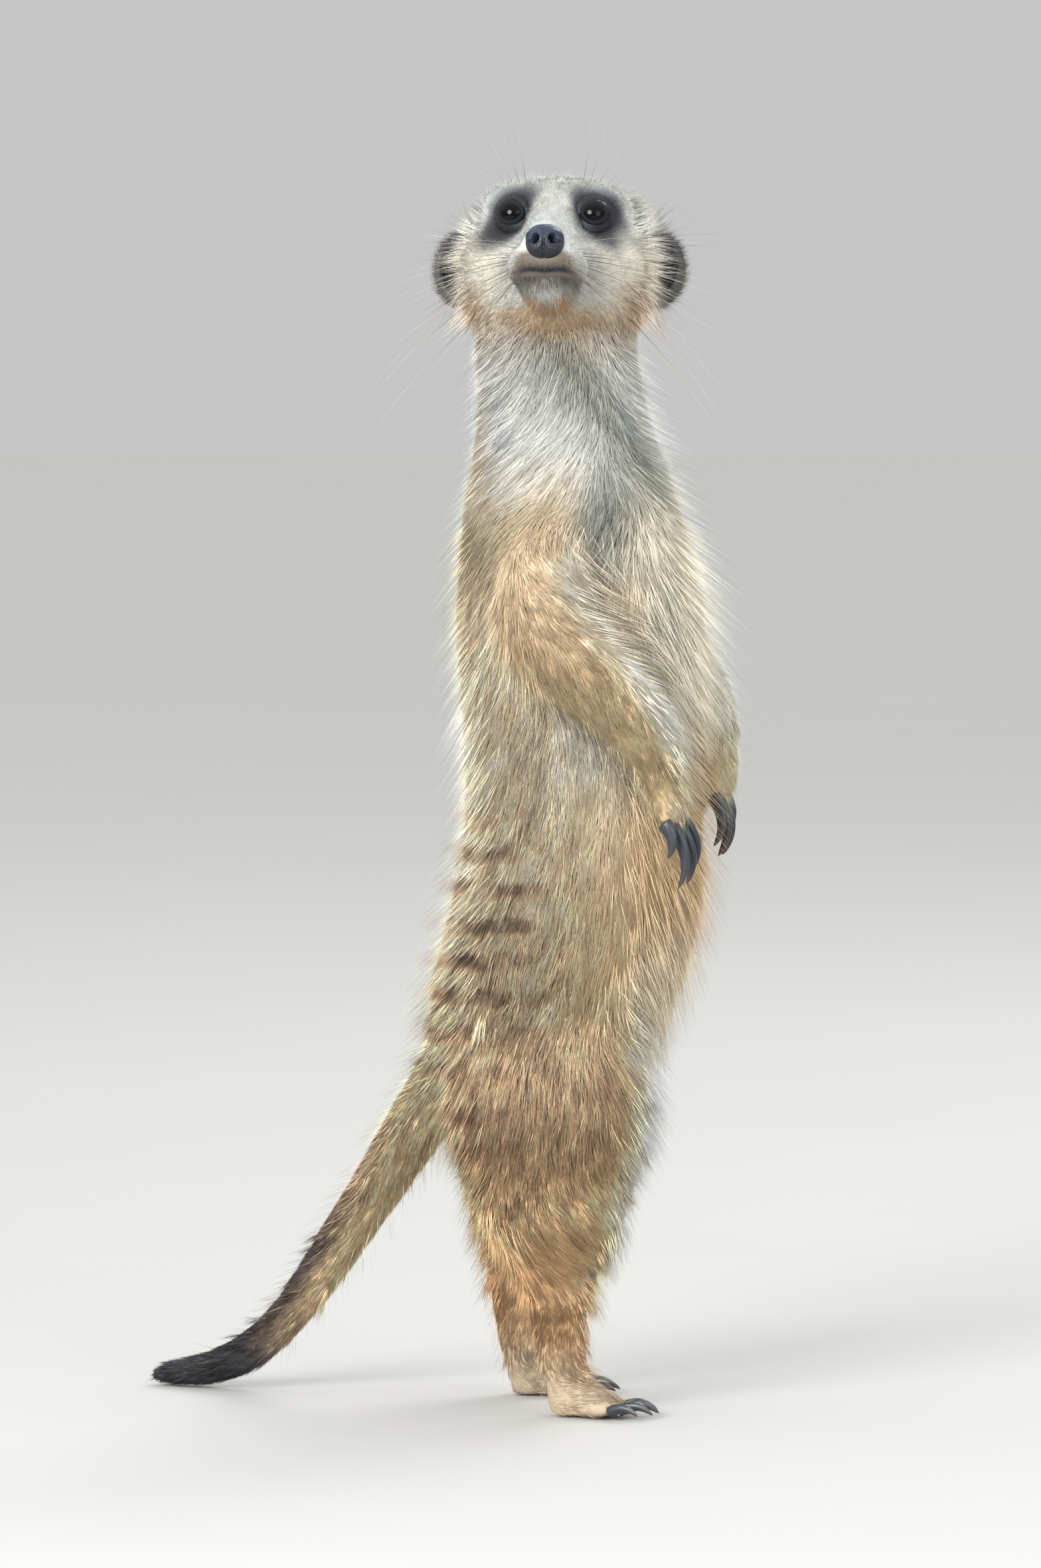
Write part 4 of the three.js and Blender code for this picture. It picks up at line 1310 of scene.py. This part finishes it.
@cache
def claw_material():
    """Dark horn, streaked along its length and paler at the worn tip."""
    s = Shader("meerkat_claw_horn")
    along, turn = s.attribute("along"), s.attribute("turn")
    across = s.add("ShaderNodeCombineXYZ", inputs={0: along * 3, 1: turn * 9, 2: 0.0})
    streaks = s.add("ShaderNodeTexNoise", inputs={"Vector": across, "Scale": 2.2, "Detail": 4.0, "Roughness": 0.6})
    shade = s.mix(streaks, (0.006, 0.008, 0.012), (0.034, 0.044, 0.058))
    shade = s.mix((along ** 3) * 0.5, shade, (0.09, 0.06, 0.045))
    return s.finish(
        Base_Color=shade, Roughness=0.2 + streaks * 0.2, Normal=s.bump(streaks, 0.1, 0.6), Specular_IOR_Level=0.5
    )


@cache
def whisker_material():
    """Stiff hair, dark at the root and pale towards the tip."""
    s = Shader("meerkat_whisker")
    along = s.attribute("along")
    patchy = s.noise(3, 2)
    shade = s.mix((along * 1.2).clipped(), (0.03, 0.027, 0.025), (0.42, 0.36, 0.28))
    return s.finish(Base_Color=s.brighten(shade, 0.8 + patchy * 0.4), Roughness=0.45)


@cache
def floor_material():
    """A pale matt floor with a faint unevenness."""
    s = Shader("studio_floor")
    cloud = s.noise(160, 3)
    pale = np.array(settings("stage").backdrop)
    shade = s.mix(cloud, pale * 0.97, pale * 1.03)
    return s.finish(Base_Color=shade, Roughness=0.7 + cloud * 0.15)


# ---------------------------------------------------------------- eyes, nose and claws
def polar_faces(rows, around):
    """Triangles of a grid of rings, with a pole closed at each end. Points go ring by ring, then the two poles."""
    quads, poles = [], []
    for row in range(rows - 1):
        for k in range(around):
            n = (k + 1) % around
            quads.append([row * around + k, row * around + n, (row + 1) * around + n, (row + 1) * around + k])
    first, last = rows * around, rows * around + 1
    final = (rows - 1) * around
    for k in range(around):
        n = (k + 1) % around
        poles += [[first, n, k], [last, final + k, final + n]]
    return np.array([[a, b, c] for a, b, c, d in quads] + [[a, c, d] for a, b, c, d in quads] + poles)


def round_object(name, points, rows, around):
    """A closed mesh of rings and two poles, with its faces looking outwards."""
    faces = polar_faces(rows, around)
    a, b, c = ((points - points.mean(0))[faces[:, k]] for k in range(3))
    outwards = dot(np.cross(a, b), c).sum() > 0
    return mesh_object(name, points, faces if outwards else faces[:, ::-1])


def ring_turns(around):
    """Angles evenly spaced round a ring."""
    return np.arange(around) / around * 2 * math.pi


def ball(rows, around):
    """Directions from the middle of a ball to its rings of points and then its two poles, with the angle of each
    from the first axis and round it."""
    lean, turn = np.meshgrid(np.linspace(0, math.pi, rows + 2)[1:-1], ring_turns(around), indexing="ij")
    lean, turn = np.append(lean, [0, math.pi]), np.append(turn, [0, 0])
    return np.stack([np.cos(lean), np.sin(lean) * np.cos(turn), np.sin(lean) * np.sin(turn)], 1), lean, turn


def dress(made, material, slot, *nodes):
    """Gives a finished piece its material and body, and hides the solids that it stands for. The slot is not used."""
    made.data.materials.append(material)
    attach(made, "root")
    if nodes:
        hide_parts(*nodes)


def build_eye(side_name):
    """An eyeball with a low cornea over the iris."""
    side, rows, around = SIDES[side_name], 48, 64
    seen, lean, turn = ball(rows, around)
    cornea = CORNEA * np.clip(1 - (lean / math.radians(52)) ** 2, 0, 1) ** 1.5
    places = HeadFrame.EYE * [1, side, 1] + seen * (EYE_RADIUS + cornea)[:, None] @ gaze_axes(side)
    made = round_object(f"eye_{side_name}_glass", HEAD.world(places), rows, around)
    level_pupil = np.sqrt((seen[:, 1] / 1.18) ** 2 + (seen[:, 2] / 0.86) ** 2) / math.sin(math.radians(60))
    attribute(made, "ring", np.where(seen[:, 0] > 0, np.minimum(level_pupil, 1), 1))
    attribute(made, "spoke", np.abs(turn / math.pi - 1))
    dress(made, eye_material(), "eyeball", f"eye_{side_name}")


def build_lid(side_name):
    """The rim of the two lids: a closed ring of dark skin that lies on the eyeball round the opening."""
    side, around, ring = SIDES[side_name], 96, 12
    turn, bead = ring_turns(around), ring_turns(ring)
    round_turn = np.stack([np.cos(turn), np.sin(turn)], 1)
    edge = np.sign(round_turn) * np.abs(round_turn) ** (2 / OPENING_POWERS) * OPENING
    edge[:, 0] *= np.where(edge[:, 0] < 0, INNER_CORNER, 1)
    out = unit(np.column_stack([np.ones(around), edge])) @ gaze_axes(side)
    run = unit(np.roll(out, -1, 0) - np.roll(out, 1, 0))
    across = np.cross(out, run)
    thick, broad = (size * wave[None, :, None] for size, wave in zip(LID_RIM, (np.sin(bead), np.cos(bead))))
    middle = HeadFrame.EYE * [1, side, 1] + out * (EYE_RADIUS + 0.2)
    places = middle[:, None] + out[:, None] * thick + across[:, None] * broad
    near = np.arange(around * ring)
    far = (near + ring) % (around * ring)
    next_near, next_far = (i - i % ring + (i + 1) % ring for i in (near, far))
    faces = np.stack([near, far, next_far, next_near], 1)
    points = HEAD.world(places.reshape(-1, 3))
    a, b, c = points[faces[0, :3]]
    if np.cross(b - a, c - a) @ ((a + c) / 2 - HEAD.world(middle[0])) < 0:
        faces = faces[:, [0, 3, 2, 1]]
    made = mesh_object(f"lid_{side_name}", points, faces)
    attribute(made, "coat_colour", np.tile(colour("leather") * 0.25, (around * ring, 1)))
    attribute(made, "bare", np.full(around * ring, 0.2))
    dress(made, skin_material(), "nose_leather")


NOSE_SQUARENESS = 2.5
NOSTRIL = {"apart": 2.4, "up": -0.3, "across": 1.2, "high": 1.4, "deep": 2.6}


def nose_form(way):
    """How far the nose leather reaches each way from its middle, and how much painted shade each way gets: deep in a
    nostril or a slit, and on the lower part of the nose.
    """
    ahead, across, up = way[:, 0], np.abs(way[:, 1]), way[:, 2]
    narrower = np.outer(0.6 * ramp(0.1, 1, -up), [0, 1, 0])
    reach = (np.abs(way / (NOSE_SIZE - narrower)) ** NOSE_SQUARENESS).sum(1) ** (-1 / NOSE_SQUARENESS)
    in_front = ramp(0.15, 0.45, ahead)
    out, rise = across * reach - NOSTRIL["apart"], up * reach - NOSTRIL["up"]
    hole = np.hypot(out / NOSTRIL["across"], rise / NOSTRIL["high"])
    slit = np.hypot((out - 1.25) / 1.05, (rise + 0.35 + 0.35 * (out - 1.25)) / 0.42)
    wing = np.minimum(hole, np.hypot((out - 0.6) / 1.9, (rise + 0.3) / 1.7))
    reach += 0.32 * in_front * bell(wing - 1.4, 0.32)
    reach -= 0.4 * in_front * bell(across * reach, 0.4) * ramp(0.6, -1.0, up * reach)
    pit = ramp(1.1, 0.6, hole) * in_front
    reach -= NOSTRIL["deep"] * pit + 0.7 * ramp(1.2, 0.3, slit) * in_front * (1 - pit)
    # Painted shade: the lower part of the nose is darker, and so are the nostrils and the slits.
    shaded = 0.6 * ramp(0.1, -0.8, up) + 0.25 * ramp(0.5, 0, up)
    return reach, np.maximum.reduce([pit, ramp(1.1, 0.5, slit) * in_front * 0.8, shaded])


def build_nose():
    """The nose: a rounded pad, narrower below, with two comma shaped nostrils and a groove down its middle."""
    rows, around = 100, 120
    way, _, _ = ball(rows, around)
    reach, pit = nose_form(way)
    made = round_object("nose_leather", HEAD.world(HeadFrame.NOSE + way * reach[:, None]), rows, around)
    attribute(made, "pit", pit)
    dress(made, leather_material(), "nose_leather", "nose")


class ClawLine:
    """The middle line and girth of a claw, read from the rings of its solid."""

    RINGS = 4

    def __init__(self, name, paw):
        points = np.unique(np.round(node_points(name), 3), axis=0)
        tip = points[np.linalg.norm(points - node_middle(paw), axis=1).argmax()]
        order = np.argsort(np.linalg.norm(points - tip, axis=1))
        rings = points[order].reshape(self.RINGS, -1, 3)[::-1]
        centres = rings.mean(1)
        steps = np.linspace(0, 1, self.RINGS)
        self.curve = [np.polynomial.polynomial.polyfit(steps, centres[:, k], 3) for k in range(3)]
        spread = rings[0] - centres[0]
        weights, axes = np.linalg.eigh(spread.T @ spread / len(spread))
        self.deep, self.deep_way = math.sqrt(2 * weights[2]), axes[:, 2]

    def point(self, t):
        """Points on the middle line, from 0 at the root to 1 at the tip."""
        return np.stack([np.polynomial.polynomial.polyval(t, c) for c in self.curve], 1)


def build_claw(name, paw):
    """A smooth claw with a rounded back and a narrow under side, rooted a little way inside the toe."""
    rows, around = 22, 20
    line = ClawLine(name, paw)
    t = np.linspace(-0.12, 1, rows)
    centre = line.point(t)
    run = unit(np.gradient(centre, axis=0))
    deep = unit(line.deep_way - run * dot(run, line.deep_way[None])[:, None])
    bend = centre[0] + centre[-1] - 2 * centre[rows // 2]
    deep = deep * -np.sign(deep[rows // 2] @ bend)
    wide = np.cross(run, deep)
    radius = line.deep * np.clip(1 - t, 0, 1) ** 0.62 * 0.9 + 0.14
    radius[-1] *= 0.6
    turn = ring_turns(around)
    over = np.sin(turn)
    across = np.cos(turn) * 0.68 * np.where(over < 0, 1 + 0.38 * over, 1)
    section = wide[:, None] * across[:, None] + deep[:, None] * over[:, None]
    rings = centre[:, None] + radius[:, None, None] * section
    points = np.concatenate([rings.reshape(-1, 3), [centre[0] - run[0] * 0.3, centre[-1] + run[-1] * 0.1]])
    points[:, 2] = np.maximum(points[:, 2], 0.3)
    made = round_object(f"{name}_horn", points, rows, around)
    attribute(made, "along", np.append(np.repeat(np.clip(t, 0, 1), around), [0, 1]))
    attribute(made, "turn", np.append(np.tile(np.abs(turn / math.pi - 1), rows), [0, 0]))
    dress(made, claw_material(), "claw_horn", name)


# ---------------------------------------------------------------- whiskers
def whisker_lines(rng):
    """The middle lines of all the whiskers: rows on the muzzle, a few on the cheeks and a tuft over each eye."""
    lines = []

    def grow(root, heading, reach, droop, thick):
        steps = np.linspace(0, 1, 13)[:, None]
        heading = unit(np.array(heading) + rng.normal(0, 0.06, 3))
        line = np.array(root) + heading * reach * steps + np.array([-0.05, 0, -1]) * droop * steps**2
        lines.append((line, thick))

    for side in SIDES.values():
        for row in range(4):
            for column in range(5):
                root = [31 - column * 2.5, side * (4.6 + column * 1.0 - row * 0.25), -11.6 - row * 1.7]
                heading = [0.3 - 0.24 * column, side * (1 - 0.06 * row), 0.1 - 0.2 * row]
                grow(root, heading, 18 + 6.8 * column - 1.5 * row, 1.5 + 1.4 * column, 0.075 + 0.01 * column)
        for place in ((12, 19.5, -15), (8, 20.5, -18), (5, 20, -22)):
            grow([place[0], side * place[1], place[2]], [-0.25, side * 0.8, -0.65], 32, 6, 0.12)
        for place in range(5):
            root = [13.5 - place * 1.6, side * (7.5 + place * 1.5), 13.0 - place * 0.35]
            grow(root, [0.25, side * (0.12 + 0.2 * place), 0.85], 15.5 - 1.2 * place, -1, 0.08)
        grow([24, side * 1.6, -21.5], [0.2, side * 0.2, -0.9], 13, -1, 0.09)
    return lines


def bristle_nodes():
    """Geometry Nodes that turn each line of points into a tapering bristle."""
    tree = bpy.data.node_groups.new("bristles", "GeometryNodeTree")
    sockets = {}
    for name, way, kind in (
        ("Lines", "INPUT", "Geometry"),
        ("Thickness", "INPUT", "Float"),
        ("Material", "INPUT", "Material"),
        ("Bristles", "OUTPUT", "Geometry"),
    ):
        sockets[name] = tree.interface.new_socket(name, in_out=way, socket_type=f"NodeSocket{kind}").identifier

    def add(kind, **inputs):
        """A node with the values or links of its inputs, whose spaces are written as underscores."""
        node = tree.nodes.new(kind)
        for name, value in inputs.items():
            socket = node.inputs[name.replace("_", " ")]
            if isinstance(value, bpy.types.NodeSocket):
                tree.links.new(value, socket)
            else:
                socket.default_value = value
        return node

    start = add("NodeGroupInput").outputs
    lines = add("GeometryNodeMeshToCurve", Mesh=start["Lines"]).outputs["Curve"]
    taper = add("GeometryNodeInputNamedAttribute", Name="thick").outputs["Attribute"]
    ring = add("GeometryNodeCurvePrimitiveCircle", Resolution=5, Radius=start["Thickness"]).outputs["Curve"]
    tube = add("GeometryNodeCurveToMesh", Curve=lines, Profile_Curve=ring, Scale=taper, Fill_Caps=True)
    real = add("GeometryNodeRealizeInstances", Geometry=tube.outputs["Mesh"]).outputs["Geometry"]
    covered = add("GeometryNodeSetMaterial", Geometry=real, Material=start["Material"]).outputs["Geometry"]
    add("NodeGroupOutput", Bristles=covered)
    return tree, sockets["Thickness"], sockets["Material"]


def build_whiskers():
    """Whiskers and brow hairs, each a tapering bristle."""
    points, edges, thick, along = [], [], [], []
    for line, girth in whisker_lines(np.random.default_rng(SEED + 9)):
        start = len(points)
        points.extend((HEAD.world(line) * MM).tolist())
        edges.extend([start + i, start + i + 1] for i in range(len(line) - 1))
        steps = np.linspace(0, 1, len(line))
        thick.extend(girth * (1 - 0.9 * steps))
        along.extend(steps)
    mesh = bpy.data.meshes.new("whisker_lines")
    mesh.from_pydata(points, edges, [])
    made = linked("whisker_lines", mesh)
    attribute(made, "thick", thick)
    attribute(made, "along", along)
    tree, thickness, finish = bristle_nodes()
    modifier = made.modifiers.new("bristles", "NODES")
    modifier.node_group = tree
    modifier[thickness] = MM
    modifier[finish] = whisker_material()
    graph = bpy.context.evaluated_depsgraph_get()
    solid = bpy.data.meshes.new_from_object(made.evaluated_get(graph))
    bpy.data.objects.remove(made)
    solid.polygons.foreach_set("use_smooth", np.ones(len(solid.polygons), bool))
    whiskers = linked("whiskers", solid)
    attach(whiskers, "root")


# ---------------------------------------------------------------- stage
# Strength of the light from all round, level with the floor and straight above.
HORIZON, OVERHEAD = 0.561, 1.3
# Lamps: degrees round from the front, degrees up, distance and size in metres, watts and colour.
LAMPS = {
    "key": (-114, 18, 1.7, 0.9, 46, (1, 0.99, 0.965)),
    "fill": (-50, 8, 1.8, 1.1, 10, (0.98, 0.99, 1)),
    "rim": (60, 42, 1.6, 0.8, 12, (1, 0.99, 0.97)),
}


def aim_at(made, place, target):
    """Puts a camera or lamp at a place, facing a target."""
    made.location = place
    made.rotation_mode = "QUATERNION"
    made.rotation_quaternion = (Vector(target) - Vector(place)).to_track_quat("-Z", "Y")


def from_camera(azimuth, elevation):
    """The direction from the animal towards a place round it."""
    a, e = math.radians(azimuth), math.radians(elevation)
    return Vector((math.sin(a) * math.cos(e), -math.cos(a) * math.cos(e), math.sin(e)))


def build_camera():
    """A long lens with its middle on the animal."""
    stage = settings("stage")
    data = bpy.data.cameras.new("camera")
    data.lens, data.sensor_width, data.sensor_fit = stage.lens, 36, "AUTO"
    data.clip_start, data.clip_end = 0.05, 50
    camera = linked("camera", data)
    target = Vector(stage.aim)
    away = from_camera(math.degrees(stage.azimuth), math.degrees(stage.elevation))
    aim_at(camera, target + away * stage.distance, target)
    bpy.context.scene.camera = camera


def build_floor():
    """A broad square of floor under the feet."""
    half = 6.0
    mesh = bpy.data.meshes.new("floor")
    mesh.from_pydata([(-half, -half, 0), (half, -half, 0), (half, half, 0), (-half, half, 0)], [], [(0, 1, 2, 3)])
    mesh.materials.append(floor_material())
    linked("floor", mesh)


def build_light(name, azimuth, elevation, distance, size, power, warmth):
    """A round lamp that shines on the chest."""
    data = bpy.data.lights.new(name, "AREA")
    data.shape, data.size, data.energy, data.color = "DISK", size, power, warmth
    chest = Vector((0, 0, 0.19))
    aim_at(linked(name, data), chest + from_camera(azimuth, elevation) * distance, chest)


def build_surroundings():
    """Soft light from all round, brighter overhead, and three large lamps. The horizon is as bright as the floor."""
    world = bpy.data.worlds.new("studio")
    world.use_nodes = True
    tree = world.node_tree
    back = tree.nodes["Background"]
    back.inputs["Color"].default_value = (1, 1, 1, 1)
    way, split, rise = (tree.nodes.new(f"ShaderNode{kind}") for kind in ("TexCoord", "SeparateXYZ", "MapRange"))
    tree.links.new(way.outputs["Generated"], split.inputs[0])
    tree.links.new(split.outputs["Z"], rise.inputs["Value"])
    rise.interpolation_type = "SMOOTHSTEP"
    for name, value in {"From Min": 0.0, "From Max": 0.45, "To Min": HORIZON, "To Max": OVERHEAD}.items():
        rise.inputs[name].default_value = value
    tree.links.new(rise.outputs["Result"], back.inputs["Strength"])
    bpy.context.scene.world = world
    bpy.context.scene.view_settings.view_transform = "Standard"
    for name, lamp in LAMPS.items():
        build_light(name, *lamp)


# ---------------------------------------------------------------- operators
built = {}


class MEERKAT_OT_skin(bpy.types.Operator):
    """Lays one skin inside the fleshy solids, with the folds and lids of the face"""

    bl_idname = "meerkat.skin"
    bl_label = "Skin"

    def execute(self, context):
        skin = Skin()
        built["skin"] = skin
        made = linked("skin", skin.mesh)
        attribute(made, "coat_colour", skin.colour)
        attribute(made, "bare", skin.bare)
        attribute(made, "bars", skin.bars)
        dress(made, skin_material(), "coat_tan", *FLESH)
        return {"FINISHED"}


class MEERKAT_OT_coat(bpy.types.Operator):
    """Grows the coat over the skin, in one piece for each part of the body"""

    bl_idname = "meerkat.coat"
    bl_label = "Coat"

    def execute(self, context):
        if "skin" not in built:
            raise RuntimeError("make the skin before the coat")
        skin = built["skin"]
        skin.mesh.calc_loop_triangles()
        coat = Coat(skin)
        for i, (name, (slot, most, regions)) in enumerate(COAT_PIECES.items()):
            coat.piece(name, slot, most, regions, SEED * 100 + i)
        return {"FINISHED"}


class MEERKAT_OT_eyes(bpy.types.Operator):
    """Makes the two eyeballs and the rims of their lids"""

    bl_idname = "meerkat.eyes"
    bl_label = "Eyes"

    def execute(self, context):
        for side_name in SIDES:
            build_eye(side_name)
            build_lid(side_name)
        return {"FINISHED"}


class MEERKAT_OT_nose(bpy.types.Operator):
    """Makes the nose leather with its nostrils"""

    bl_idname = "meerkat.nose"
    bl_label = "Nose"

    def execute(self, context):
        build_nose()
        return {"FINISHED"}


class MEERKAT_OT_claws(bpy.types.Operator):
    """Makes the sixteen claws"""

    bl_idname = "meerkat.claws"
    bl_label = "Claws"

    def execute(self, context):
        for name, paw in CLAWS.items():
            build_claw(name, paw)
        return {"FINISHED"}


class MEERKAT_OT_whiskers(bpy.types.Operator):
    """Makes the whiskers and the hairs over the eyes"""

    bl_idname = "meerkat.whiskers"
    bl_label = "Whiskers"

    def execute(self, context):
        build_whiskers()
        return {"FINISHED"}


class MEERKAT_OT_stage(bpy.types.Operator):
    """Sets up the camera, the floor and the lights"""

    bl_idname = "meerkat.stage"
    bl_label = "Stage"

    def execute(self, context):
        build_camera()
        build_floor()
        build_surroundings()
        return {"FINISHED"}


OPERATORS = (
    MEERKAT_OT_stage,
    MEERKAT_OT_skin,
    MEERKAT_OT_eyes,
    MEERKAT_OT_nose,
    MEERKAT_OT_claws,
    MEERKAT_OT_coat,
    MEERKAT_OT_whiskers,
)


class MEERKAT_PT_panel(bpy.types.Panel):
    """Lists the pieces and the values that they are made from"""

    bl_label = "Meerkat"
    bl_space_type = "VIEW_3D"
    bl_region_type = "UI"
    bl_category = "Meerkat"

    def draw(self, context):
        for operator in OPERATORS:
            self.layout.operator(operator.bl_idname)
        for group in GROUPS:
            box = self.layout.box()
            values = getattr(context.scene, f"meerkat_{group}")
            for name in values.bl_rna.properties.keys():
                if name not in ("rna_type", "name"):
                    box.prop(values, name)


GROUPS = {"coat": MeerkatCoat, "colours": MeerkatColours, "stage": MeerkatStage}


def register():
    for kind in (*GROUPS.values(), *OPERATORS, MEERKAT_PT_panel):
        bpy.utils.register_class(kind)
    for group, kind in GROUPS.items():
        setattr(bpy.types.Scene, f"meerkat_{group}", PointerProperty(type=kind))


def unregister():
    for group in GROUPS:
        delattr(bpy.types.Scene, f"meerkat_{group}")
    for kind in (MEERKAT_PT_panel, *reversed(OPERATORS), *reversed(GROUPS.values())):
        bpy.utils.unregister_class(kind)


def main():
    """Makes every piece."""
    kept = {*frame["nodes"].values(), *frame["bodies"].values()}
    for extra in [o for o in bpy.data.objects if o not in kept]:
        bpy.data.objects.remove(extra)
    register()
    for operator in OPERATORS:
        family, name = operator.bl_idname.split(".")
        getattr(getattr(bpy.ops, family), name)()


if __name__ == "__main__":
    main()
